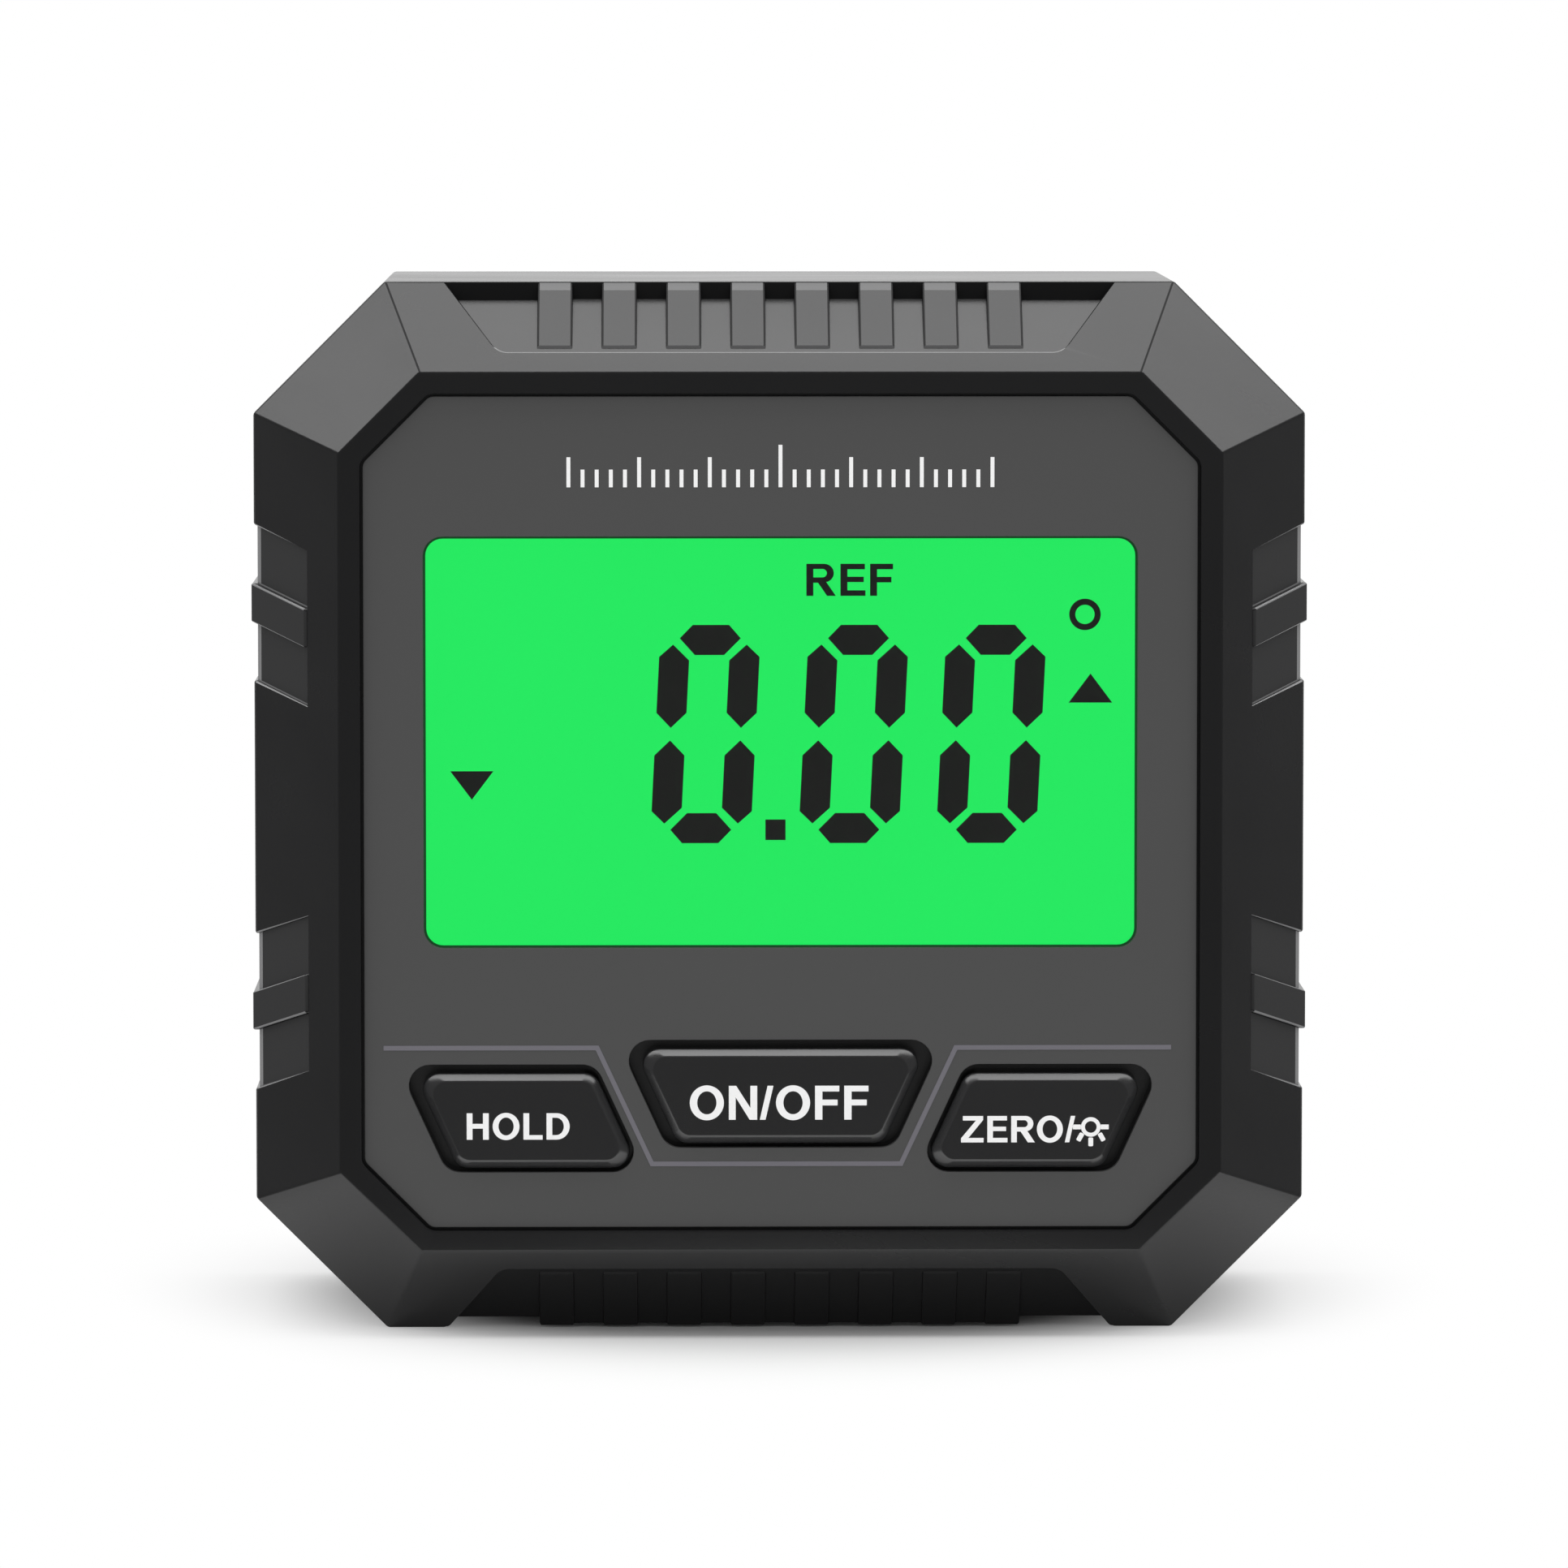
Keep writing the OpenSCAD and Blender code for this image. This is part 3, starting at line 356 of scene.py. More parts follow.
@dataclass(frozen=True)
class LitFinish(Finish):
    """Face of the backlit display, a little uneven in its light."""

    light: Colour
    dark: Colour = (0.01, 0.02, 0.012)
    shades: Point = (0.985, 1.015)

    def inputs(self, wires: Wiring) -> Inputs:
        """Returns the shader's inputs."""
        grain = wires.effect(Effect.GRAIN, fine=9000.0, slow=45.0)
        return {
            "Base Color": self.dark, "Roughness": 0.5, "Specular IOR Level": 0.1,
            "Emission Color": wires.mottled(grain, self.light, self.shades),
            "Emission Strength": 1.0,
        }


@dataclass(frozen=True)
class ClearFinish(Finish):
    """Polished clear plastic with faint wipe marks."""

    colour: Colour = WHITE
    roughness: float = 0.03
    uneven: float = 0.5
    specular: float = 0.25
    ior: float = 1.46

    def inputs(self, wires: Wiring) -> Inputs:
        """Returns the shader's inputs."""
        streak = wires.effect(Effect.WIPE, scale=220.0).outputs["Streak"]
        return {
            "Base Color": self.colour, "Transmission Weight": 1.0, "IOR": self.ior,
            "Specular IOR Level": self.specular,
            "Roughness": wires.uneven(streak, self.roughness, self.uneven),
        }


@dataclass(frozen=True)
class PlatedFinish(Finish):
    """Plated or bright metal."""

    colour: Colour
    roughness: float
    uneven: float = 0.3
    shades: Point = (0.9, 1.08)
    brush: float = 0.05
    depth: float = 0.02 * MM

    def inputs(self, wires: Wiring) -> Inputs:
        """Wires the shader's inputs.

        Args:
            wires: Wiring of the material.

        Returns:
            Values and sockets by name.
        """
        grain = wires.effect(Effect.GRAIN, fine=2500.0, slow=350.0)
        streak = wires.effect(Effect.WIPE, scale=900.0, length=12.0).outputs["Streak"]
        return {
            "Base Color": wires.mottled(grain, self.colour, self.shades), "Metallic": 1.0,
            "Roughness": wires.uneven(streak, self.roughness, self.uneven),
            "Normal": wires.bump(streak, self.brush, self.depth),
        }


@dataclass(frozen=True)
class BoardFinish(Finish):
    """Green solder mask over copper tracks."""

    mask: Colour
    track: Colour
    scale: float = 260.0
    width: float = 0.06
    offset: float = 0.37
    squash: float = 0.6
    rough: Point = (0.32, 0.24)

    def inputs(self, wires: Wiring) -> Inputs:
        """Wires the shader's inputs.

        Args:
            wires: Wiring of the material.

        Returns:
            Values and sockets by name.
        """
        turned = {"Vector": wires.place(), "Rotation": (math.radians(90), 0.0, 0.0)}
        place = wires.add("ShaderNodeMapping", turned).outputs["Vector"]
        sizes = {"Vector": place, "Scale": self.scale, "Mortar Size": self.width}
        bricks = wires.add(
            "ShaderNodeTexBrick", sizes, offset=self.offset, squash=self.squash)
        tracks = bricks.outputs["Fac"]
        return {
            "Base Color": wires.mix(tracks, self.mask, self.track),
            "Roughness": wires.spread(tracks, *self.rough), "Specular IOR Level": 0.5,
        }


@dataclass(frozen=True)
class WrapFinish(Finish):
    """Printed sleeve of a dry cell, with a pale band at the button end and bare metal ends."""

    button: float
    half_length: float = 20.6 * MM
    sleeve: Colour = tone(52, 55, 60)
    band: Colour = tone(198, 162, 62)
    metal: Colour = tone(196, 197, 200)
    stops: tuple[float, ...] = (0.06, 0.72, 0.95)
    rough: Point = (0.22, 0.38)

    def inputs(self, wires: Wiring) -> Inputs:
        """Wires the shader's inputs.

        Args:
            wires: Wiring of the material.

        Returns:
            Values and sockets by name.
        """
        parts = wires.add("ShaderNodeSeparateXYZ", {"Vector": wires.place()})
        along = wires.math("MULTIPLY", parts.outputs["X"], 0.5 * self.button / self.half_length)
        ramp = wires.add("ShaderNodeValToRGB", {"Fac": wires.math("ADD", along, 0.5)})
        ramp.color_ramp.interpolation = "CONSTANT"
        start, band, end = self.stops
        first, second = ramp.color_ramp.elements
        first.color = (*self.metal, 0)
        second.position = start
        second.color = (*self.sleeve, 1)
        for position, colour, wrapped in ((band, self.band, 1), (end, self.metal, 0)):
            ramp.color_ramp.elements.new(position).color = (*colour, wrapped)
        streak = wires.effect(Effect.WIPE, scale=300.0).outputs["Streak"]
        return {
            "Base Color": ramp.outputs["Color"], "Specular IOR Level": 0.5,
            "Metallic": wires.math("SUBTRACT", 1.0, ramp.outputs["Alpha"]),
            "Roughness": wires.spread(streak, *self.rough),
        }


def ink(name: str, colour: Colour, specular: float, mottle: float) -> GrainedFinish:
    """Returns the finish of a printed ink."""
    return GrainedFinish(name, colour, 0.5, specular, grain=0.03, mottle=mottle)


class Palette:
    """Every finish of the gauge, built once."""

    def __init__(self) -> None:
        """Builds the materials."""
        finishes = {
            # The case's pale highlight colour is a painted highlight on rounded edges and rib ends.
            "case": GrainedFinish(
                "case_black", tone(20, 20, 21), 0.26, 0.72, grip=tone(37, 37, 38),
                highlight_colour=tone(126, 126, 127)),
            # Painted shade: a darker, duller finish for faces where shade falls.
            "dull": GrainedFinish("case_painted_shade", tone(17, 17, 18), 0.45, 0.26),
            # The keys' grip colour is a painted highlight on their sloping edges.
            "key": GrainedFinish(
                "key_black", tone(23, 23, 24), 0.21, 0.92, grain=0.06, ior=1.64,
                grip=tone(36, 36, 37), grip_rough=0.03),
            "panel": GrainedFinish(
                "panel_grey", tone(81, 81, 81), 0.62, 0.25, grain=0.08, mottle=0.02),
            "white_ink": ink("ink_white", WHITE, 0.2, 0.01),
            "grey_ink": ink("ink_grey", tone(116, 114, 121), 0.25, 0.03),
            "segment": ink("segment_dark", tone(60, 56, 58), 0.1, 0.05),
            # Painted shade: a dark green line along the edge of the display window.
            "rim_ink": ink("painted_rim_shade", tone(26, 98, 50), 0.2, 0.04),
            "foam": GrainedFinish("foam_black", tone(24, 24, 25), 0.9, 0.1, grain=0.6, fine=2500.0),
            "white": GrainedFinish("frame_white", tone(236, 236, 230), 0.5, 0.3),
            "rubber": GrainedFinish("strip_grey", tone(70, 70, 72), 0.8, 0.15),
            "chip": GrainedFinish("chip_black", tone(32, 32, 34), 0.55, 0.3, grain=0.3),
            "stem": GrainedFinish("stem_grey", tone(60, 60, 64), 0.45, 0.35),
            "lit": LitFinish("display_lit", (0.0113, 0.857, 0.118)),
            "lamp": LitFinish("lamp_lit", tone(190, 255, 160)),
            "window": ClearFinish("window_clear"),
            "guide": ClearFinish("guide_clear", (0.86, 1.0, 0.9), 0.12),
            "nickel": PlatedFinish("nickel", tone(196, 194, 188), 0.24),
            "steel": PlatedFinish("screw_steel", tone(172, 174, 178), 0.3),
            "board": BoardFinish("board_green", tone(22, 92, 50), tone(40, 128, 70)),
            "upper_wrap": WrapFinish("wrap_upper", -1.0),
            "lower_wrap": WrapFinish("wrap_lower", 1.0),
        }
        self._materials = {key: finish.build() for key, finish in finishes.items()}

    def __getitem__(self, key: str) -> Material:
        """Returns the material of a finish."""
        return self._materials[key]


@dataclass(frozen=True)
class Rounding:
    """Small radius that moulding leaves on outer edges."""

    width: float
    segments: int = 2
    highlight_share: float = 0.0
    least_angle: float = math.radians(28)

    def apply(self, shape: Shape, outside: Callable[[Vector], bool]) -> None:
        """Rounds the convex edges that lie outside and gives the new faces their share of painted
        highlight.

        Args:
            shape: Merged copy of a CAD node.
            outside: Test of an edge's middle.
        """
        edges = [
            edge for edge in shape.edges
            if len(edge.link_faces) == 2 and edge.is_convex
            and edge.calc_face_angle() > self.least_angle
            and outside((edge.verts[0].co + edge.verts[1].co) / 2)
        ]
        made = bmesh.ops.bevel(
            shape, geom=edges, offset=self.width, offset_type="OFFSET", affect="EDGES",
            segments=self.segments, profile=0.5, material=-1, clamp_overlap=False)
        # The new faces carry the rounding's share of painted highlight.
        mark = shape.faces.layers.float[HIGHLIGHT_MARK]
        for face in made["faces"]:
            face[mark] = self.highlight_share


def mark_strip(
    shape: Shape, chosen: Callable[[Face], bool],
    place: Vector, direction: Vector, share: float,
) -> None:
    """Cuts faces along a plane and gives the strip beyond it a painted highlight.

    Args:
        shape: Merged copy of a CAD node.
        chosen: Test of the faces to cut.
        place: A point of the plane.
        direction: Side of the plane that the strip is on.
        share: Share of painted highlight on the strip.
    """
    faces = [face for face in shape.faces if chosen(face)]
    edges = dict.fromkeys(edge for face in faces for edge in face.edges)
    corners = dict.fromkeys(corner for face in faces for corner in face.verts)
    bmesh.ops.bisect_plane(
        shape, geom=[*faces, *edges, *corners], dist=CUT_REACH,
        plane_co=place, plane_no=direction)
    mark = shape.faces.layers.float[HIGHLIGHT_MARK]
    for face in shape.faces:
        if chosen(face) and (face.calc_center_median() - place).dot(direction) > 0:
            face[mark] = share


def mark_faces(mesh: Mesh, chosen: Callable[[Polygon], bool]) -> None:
    """Gives faces of a mesh the grip mark: grip texture on the case, a painted highlight on the
    keys.

    Args:
        mesh: The mesh.
        chosen: Test of the faces to mark.
    """
    marks = mesh.attributes.new(GRIP_AND_SLOPE_HIGHLIGHT_MARK, "FLOAT", "FACE")
    for face in mesh.polygons:
        marks.data[face.index].value = float(chosen(face))


def add_object(name: str, shape: Mesh | bpy.types.Curve) -> Piece:
    """Puts a mesh or a curve into the scene at the origin.

    Args:
        name: Name of the piece.
        shape: Mesh or curve with its place in its points.

    Returns:
        The object.
    """
    piece = bpy.data.objects.new(name, shape)
    bpy.context.scene.collection.objects.link(piece)
    return piece


def finish_piece(piece: Piece, material: Material, body: Body) -> None:
    """Gives a piece its finish and lets it move with a body.

    Args:
        piece: The object.
        material: Its finish.
        body: Body that carries it.
    """
    piece.data.materials.clear()
    piece.data.materials.append(material)
    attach(piece, body.value)
    log.info("%s: %d faces on %s", piece.name, len(piece.data.polygons), body.value)


def dress_node(node: str, material: Material) -> None:
    """Gives a CAD node that stays as it is a better finish.

    Args:
        node: Name of the node.
        material: Its finish.
    """
    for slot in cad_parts[node].material_slots:
        slot.material = material
    log.info("%s: dressed in %s", node, material.name)


def rounded_copy(
    node: str, name: str, *passes: tuple[Rounding, Callable[[Vector], bool]],
    ready: Callable[[Shape], None] | None = None,
) -> Piece:
    """Copies a CAD node, merges it and rounds its outer edges.

    Args:
        node: Node to stand for.
        name: Name of the piece.
        *passes: Radii, each with the test of the edges that it rounds.
        ready: Cuts and marks the merged copy before the rounding.

    Returns:
        The piece, which replaces the node.
    """
    shape = bmesh.new()
    shape.from_mesh(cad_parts[node].data)
    # This layer carries the painted highlight of edges and rib ends.
    shape.faces.layers.float.new(HIGHLIGHT_MARK)
    bmesh.ops.remove_doubles(shape, verts=shape.verts, dist=MERGE_REACH)
    bmesh.ops.dissolve_limit(
        shape, angle_limit=FLAT_ANGLE, verts=shape.verts, edges=shape.edges)
    if ready is not None:
        ready(shape)
    for rounding, outside in passes:
        rounding.apply(shape, outside)
    mesh = bpy.data.meshes.new(name)
    shape.to_mesh(mesh)
    shape.free()
    stale = mesh.attributes.get("custom_normal")
    if stale is not None:
        mesh.attributes.remove(stale)
    mesh.shade_smooth()
    mesh.set_sharp_from_angle(angle=CREASE_ANGLE)
    piece = add_object(name, mesh)
    even = piece.modifiers.new("even_shading", "WEIGHTED_NORMAL")
    even.keep_sharp = True
    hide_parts(node)
    return piece


def bar(left: float, low: float, right: float, high: float) -> Loop:
    """Returns an upright rectangle."""
    return [(left, low), (right, low), (right, high), (left, high)]


def arc(centre: Point, radii: Point, start: float, end: float, steps: int = 16) -> Loop:
    """Draws part of an ellipse.

    Args:
        centre: Middle of the ellipse.
        radii: Its half width and half height.
        start: First angle in degrees.
        end: Last angle in degrees.
        steps: Number of chords.

    Returns:
        The points from start to end.
    """
    angles = (math.radians(start + (end - start) * i / steps) for i in range(steps + 1))
    (x, z), (wide, high) = centre, radii
    return [(x + wide * math.cos(a), z + high * math.sin(a)) for a in angles]


def ellipse(centre: Point, radii: Point, steps: int = 40) -> Loop:
    """Returns a whole ellipse."""
    return arc(centre, radii, 0, 360, steps)[:-1]


def rounded_bar(box: Box, radius: float) -> Loop:
    """Draws an upright rectangle with rounded corners.

    Args:
        box: Left, lower, right and upper edge.
        radius: Radius of the corners.

    Returns:
        The outline.
    """
    left, low, right, high = box
    near, far, foot, head = left + radius, right - radius, low + radius, high - radius
    corners = (((far, foot), -90), ((far, head), 0), ((near, head), 90), ((near, foot), 180))
    return [
        point for centre, start in corners
        for point in arc(centre, (radius, radius), start, start + 90, 8)
    ]


def moved(loops: Iterable[Loop], across: float, up: float, scale: Point = (1.0, 1.0)) -> list[Loop]:
    """Scales outlines and then moves them.

    Args:
        loops: Outlines.
        across: Move to the right.
        up: Move upwards.
        scale: Factors across and up.

    Returns:
        The new outlines.
    """
    return [[(across + x * scale[0], up + z * scale[1]) for x, z in loop] for loop in loops]


@dataclass(frozen=True)
class Capitals:
    """Bold upright capitals without serifs, drawn on a cap height of 1."""

    stem: float = 0.215
    arm: float = 0.17
    gap: float = 0.145
    tight_gap: float = 0.075
    tight_pairs: tuple[str, ...] = ("N/", "/O", "O/", "RO")

    def glyph(self, letter: str) -> list[Loop]:
        """Draws one letter from the origin to the right.

        Args:
            letter: A capital or a slash.

        Returns:
            Its outlines, with holes as outlines of their own.
        """
        s, a = self.stem, self.arm
        shapes: dict[str, list[Loop]] = {
            "H": [[(0, 0), (s, 0), (s, 0.42), (0.605, 0.42), (0.605, 0), (0.82, 0), (0.82, 1),
                   (0.605, 1), (0.605, 0.6), (s, 0.6), (s, 1), (0, 1)]],
            "O": [ellipse((0.5, 0.5), (0.5, 0.515)), ellipse((0.5, 0.5), (0.282, 0.34))],
            "L": [[(0, 0), (0.714, 0), (0.714, a), (s, a), (s, 1), (0, 1)]],
            "D": [[(0, 0), *arc((0.38, 0.5), (0.484, 0.5), -90, 90), (0, 1)],
                  [(s, a), *arc((0.36, 0.5), (0.284, 0.5 - a), -90, 90), (s, 1 - a)]],
            "N": [[(0, 0), (0.2, 0), (0.2, 0.66), (0.61, 0), (0.83, 0), (0.83, 1), (0.63, 1),
                   (0.63, 0.35), (0.215, 1), (0, 1)]],
            "F": [[(0, 0), (s, 0), (s, 0.42), (0.66, 0.42), (0.66, 0.59), (s, 0.59), (s, 1 - a),
                   (0.71, 1 - a), (0.71, 1), (0, 1)]],
            "E": [[(0, 0), (0.774, 0), (0.774, a), (s, a), (s, 0.43), (0.72, 0.43), (0.72, 0.595),
                   (s, 0.595), (s, 1 - a), (0.755, 1 - a), (0.755, 1), (0, 1)]],
            "Z": [[(0, 0), (0.868, 0), (0.868, a), (0.285, a), (0.85, 0.85), (0.85, 1), (0.07, 1),
                   (0.07, 1 - a), (0.575, 1 - a), (0, 0.155)]],
            "R": [[(0, 0), (s, 0), (s, 0.41), (0.36, 0.41), (0.64, 0), (0.912, 0), (0.615, 0.435),
                   *arc((0.55, 0.71), (0.3, 0.29), -68, 90), (0, 1)],
                  [(s, 0.575), *arc((0.5, 0.7075), (0.135, 0.1325), -90, 90), (s, 0.84)]],
            "/": [[(0, 0), (0.17, 0), (0.4, 1), (0.23, 1)]],
        }
        return shapes[letter]

    def write(self, words: str, box: Box) -> list[Loop]:
        """Sets a word between two edges.

        Args:
            words: Letters to set.
            box: Left edge, right edge, height of the base line and height of the capitals.

        Returns:
            The outlines.
        """
        left, right, base, cap = box
        line: list[Loop] = []
        pen = 0.0
        for place, letter in enumerate(words):
            loops = self.glyph(letter)
            line += moved(loops, pen, 0.0)
            pair = words[place:place + 2]
            pen += max(x for loop in loops for x, _ in loop)
            pen += self.tight_gap if pair in self.tight_pairs else self.gap
        width = max(x for loop in line for x, _ in loop)
        return moved(line, left, base, ((right - left) / width, cap))


def raised_print(name: str, loops: Iterable[Loop], face: float, height: float) -> Piece:
    """Raises flat outlines off a face that looks towards -Y.

    Args:
        name: Name of the piece.
        loops: Outlines in x and z, in millimetres.
        face: Place of the face in y, in millimetres.
        height: Thickness of the print, in millimetres.

    Returns:
        The piece.
    """
    curve = bpy.data.curves.new(name, "CURVE")
    curve.dimensions = "2D"
    curve.fill_mode = "BOTH"
    curve.extrude = height / 2
    for loop in loops:
        spline = curve.splines.new("POLY")
        spline.points.add(len(loop) - 1)
        spline.use_cyclic_u = True
        for point, (x, z) in zip(spline.points, loop):
            point.co = (x, z, 0, 1)
    drawn = add_object(name, curve)
    scene = bpy.context.evaluated_depsgraph_get()
    mesh = bpy.data.meshes.new_from_object(drawn.evaluated_get(scene))
    bpy.data.objects.remove(drawn)
    bpy.data.curves.remove(curve)
    stand = Matrix.Translation((0, face - height / 2, 0)) @ Matrix.Rotation(math.pi / 2, 4, "X")
    shape = bmesh.new()
    shape.from_mesh(mesh)
    shape.transform(Matrix.Scale(MM, 4) @ stand)
    bmesh.ops.remove_doubles(shape, verts=shape.verts, dist=CUT_REACH)
    bmesh.ops.recalc_face_normals(shape, faces=shape.faces)
    shape.to_mesh(mesh)
    shape.free()
    mesh.name = name
    return add_object(name, mesh)


class Zone:
    """Part of the case, given by limits of a point's measures, in millimetres.

    Right, across and rise count from the middle of the case, and slope from the parting plane to
    the front. Inset is the way inside the octagon, sink the way below the front bevel, level the
    height on the slanted lines of the grips, seam the way from the seams of the upper bevel and
    off the way from the sides. Sideways, forwards and upwards say which way a face looks.
    """

    def __init__(self, **limits: Point) -> None:
        """Keeps the limits."""
        self.limits = limits

    def within(self, **limits: Point) -> "Zone":
        """Returns the part of the zone that keeps more limits."""
        return Zone(**(self.limits | limits))

    def holds(self, measures: dict[str, float]) -> bool:
        """Tells whether measures keep all limits."""
        return all(inside(measures[name], limits) for name, limits in self.limits.items())


@dataclass(frozen=True)
class Case:
    """Front shell, rear shell and battery door, with sizes in millimetres."""

    half: float = 30.0
    corner_cut: float = 7.5
    parting: float = -10.0
    nose_length: float = 0.36
    nose_rise: float = 0.05
    grip_lines: tuple[float, ...] = (7.25, 10.6, 12.8, 16.15)
    grip_slope: float = 0.414
    grip_strip: float = 0.2
    grip_foot: float = 0.09
    ridge_slack: float = 0.15
    # Shares of painted highlight on the rib noses, the grip strips, the grip feet and the rib toes.
    nose_share: float = 0.45
    strip_share: float = 1.0
    foot_share: float = 0.7
    toe_share: float = 0.55
    edge: Rounding = Rounding(0.12 * MM)
    # These roundings carry a painted highlight along the recess lip and the grip ridges.
    lip_edge: Rounding = Rounding(0.17 * MM, highlight_share=1.0)
    ridge_edge: Rounding = Rounding(0.08 * MM, highlight_share=1.0)
    ribs: Zone = Zone(across=(-1, 13.9), rise=(0, FAR))
    crest: Zone = ribs.within(sink=(0.08, 0.16), upwards=(0.6, FAR))
    toe: Zone = ribs.within(slope=(3.39, 3.41), forwards=(0.9, FAR))
    nose: Zone = ribs.within(slope=(-0.01, 0.01), inset=(-FAR, 0.2))
    flank: Zone = ribs.within(slope=(0, 3.42), sink=(-FAR, 1.0), sideways=(0.1, FAR))
    sides: Zone = Zone(across=(26, FAR))
    grip: Zone = sides.within(sink=(0.2, 0.24), sideways=(0.6, FAR))
    rough: Zone = sides.within(off=(0.05, 0.3), upwards=(-0.1, 0.1))
    grip_run: Zone = sides.within(slope=(0.1, 3.1))
    grip_end: Zone = Zone(across=(29.7, FAR), slope=(-0.01, 0.01))
    recess: Zone = Zone(across=(-1, 19.1))
    lip: Zone = recess.within(rise=(0, FAR), slope=(0.05, 3.95), sink=(-0.06, 0.06))
    relief: Zone = recess.within(
        rise=(-FAR, 0), slope=(-0.01, 3.85), sink=(0.06, 1.0), upwards=(-FAR, 0.1))
    seams: Zone = Zone(seam=(-0.12, 0), sink=(-0.05, 0.05), slope=(0, FAR))
    rear_rim: Zone = Zone(slope=(-0.05, 0.05), forwards=(0.9, FAR))
    back: Zone = Zone(slope=(-FAR, -24.7))
    rear_shown: tuple[Zone, ...] = (back, Zone(inset=(-FAR, 0.75)))
    door_shown: tuple[Zone, ...] = (back, Zone(right=(25, FAR)))
    front_shown: tuple[Zone, ...] = (
        Zone(inset=(-FAR, 6.3), slope=(2.35, FAR)), Zone(inset=(-FAR, 3.9), slope=(-0.01, FAR)))
    left_out: tuple[Zone, ...] = (
        lip, ribs.within(slope=(-FAR, 0.1)), ribs.within(slope=(3.3, 3.5)),
        ribs.within(rise=(-FAR, 0), slope=(-FAR, 0.35)),
        grip_end.within(rise=(7.2, 16.2)), grip_end.within(rise=(-16.2, -7.2)),
    )

    def measure(self, point: Vector, normal: Vector = NO_NORMAL) -> dict[str, float]:
        """Measures where a point lies on the case and which way its face looks.

        Args:
            point: The point.
            normal: Normal of its face.

        Returns:
            Measures by name, in millimetres.
        """
        x, y, z = (value / MM for value in point)
        rise, slope = z - self.half, self.parting - y
        corner = (2 * self.half - self.corner_cut - abs(x) - abs(rise)) / math.sqrt(2)
        inset = min(self.half - abs(x), self.half - abs(rise), corner)
        return {
            "right": x, "across": abs(x), "rise": rise, "slope": slope, "inset": inset,
            "sink": inset - slope, "level": abs(rise) + self.grip_slope * slope,
            "seam": self.half - rise - corner, "off": abs(abs(x) - self.half + max(0.0, slope)),
            "sideways": abs(normal.x), "forwards": -normal.y, "upwards": normal.z,
        }

    def lies(self, zones: Iterable[Zone], point: Vector, normal: Vector = NO_NORMAL) -> bool:
        """Tells whether a point lies in one of some zones."""
        measures = self.measure(point, normal)
        return any(zone.holds(measures) for zone in zones)

    def is_cut(self, zone: Zone, face: Face) -> bool:
        """Tells whether a face of a copy in work lies in a zone."""
        return self.lies((zone,), face.calc_center_median(), face.normal)

    def is_rough(self, face: Polygon) -> bool:
        """Tells whether a face of a side grip lies below or above the side of the case."""
        return self.lies((self.rough,), face.center, face.normal)

    def on_ridge(self, point: Vector) -> bool:
        """Tells whether an edge runs along a side grip or its ridge.

        Args:
            point: Middle of the edge.

        Returns:
            True where it does.
        """
        level = self.measure(point)["level"]
        along = any(abs(level - line) < self.ridge_slack for line in self.grip_lines)
        return along and self.lies((self.grip_run,), point)

    def on_front(self, point: Vector) -> bool:
        """Tells whether an edge shows on the front shell and has no pass of its own."""
        left_out = self.on_ridge(point) or self.lies(self.left_out, point)
        return not left_out and self.lies(self.front_shown, point)

    def paint_highlights(self, shape: Shape) -> None:
        """Paints highlights on the ends of the ribs and grip floors, and lifts the rear ends of the
        ribs.

        Args:
            shape: Merged copy of the front shell.
        """
        strips = [
            (self.crest, (0, self.parting - self.nose_length, 0), (0, 1, 0), self.nose_share),
            (self.grip, (0, self.parting - self.grip_strip, 0), (0, 1, 0), self.strip_share),
        ]
        for low, high in (self.grip_lines[:2], self.grip_lines[2:]):
            feet = low + self.grip_foot, high - self.grip_foot
            for side, foot, rise in zip((1, -1), feet, ((0, FAR), (-FAR, 0))):
                zone = self.grip.within(level=(low, high), rise=rise)
                place = (0, self.parting, self.half + side * foot)
                strips.append((zone, place, (0, side * self.grip_slope, -1), self.foot_share))
        for zone, place, direction, share in strips:
            chosen = partial(self.is_cut, zone)
            mark_strip(shape, chosen, Vector(place) * MM, Vector(direction), share)
        # Painted highlight: the toe walls of the ribs take a share of it.
        mark = shape.faces.layers.float[HIGHLIGHT_MARK]
        for face in filter(partial(self.is_cut, self.toe), shape.faces):
            face[mark] = self.toe_share
        for corner in shape.verts:
            if self.lies((self.nose,), corner.co):
                corner.co.z += self.nose_rise * MM

    def build(self, palette: Palette) -> None:
        """Builds and dresses the shells and the door.

        Args:
            palette: Finishes.
        """
        front = rounded_copy(
            "front_shell", "case_front", (self.lip_edge, partial(self.lies, (self.lip,))),
            (self.ridge_edge, self.on_ridge), (self.edge, self.on_front), ready=self.paint_highlights)
        rear = rounded_copy(
            "rear_shell", "case_rear", (self.edge, partial(self.lies, self.rear_shown)))
        door = rounded_copy(
            "battery_door", "door_cover", (self.edge, partial(self.lies, self.door_shown)))
        for piece, body in ((front, Body.CASE), (rear, Body.CASE), (door, Body.DOOR)):
            mark_faces(piece.data, self.is_rough)
            finish_piece(piece, palette["case"], body)
        # Painted shade: the rib flanks, the lower recess, the rear shell's front rim and thin
        # strips along the upper seams take a darker, duller finish.
        dull = ((front, (self.flank, self.relief, self.seams)), (rear, (self.rear_rim,)))
        for piece, zones in dull:
            piece.data.materials.append(palette["dull"])
            for face in piece.data.polygons:
                face.material_index = int(self.lies(zones, face.center, face.normal))


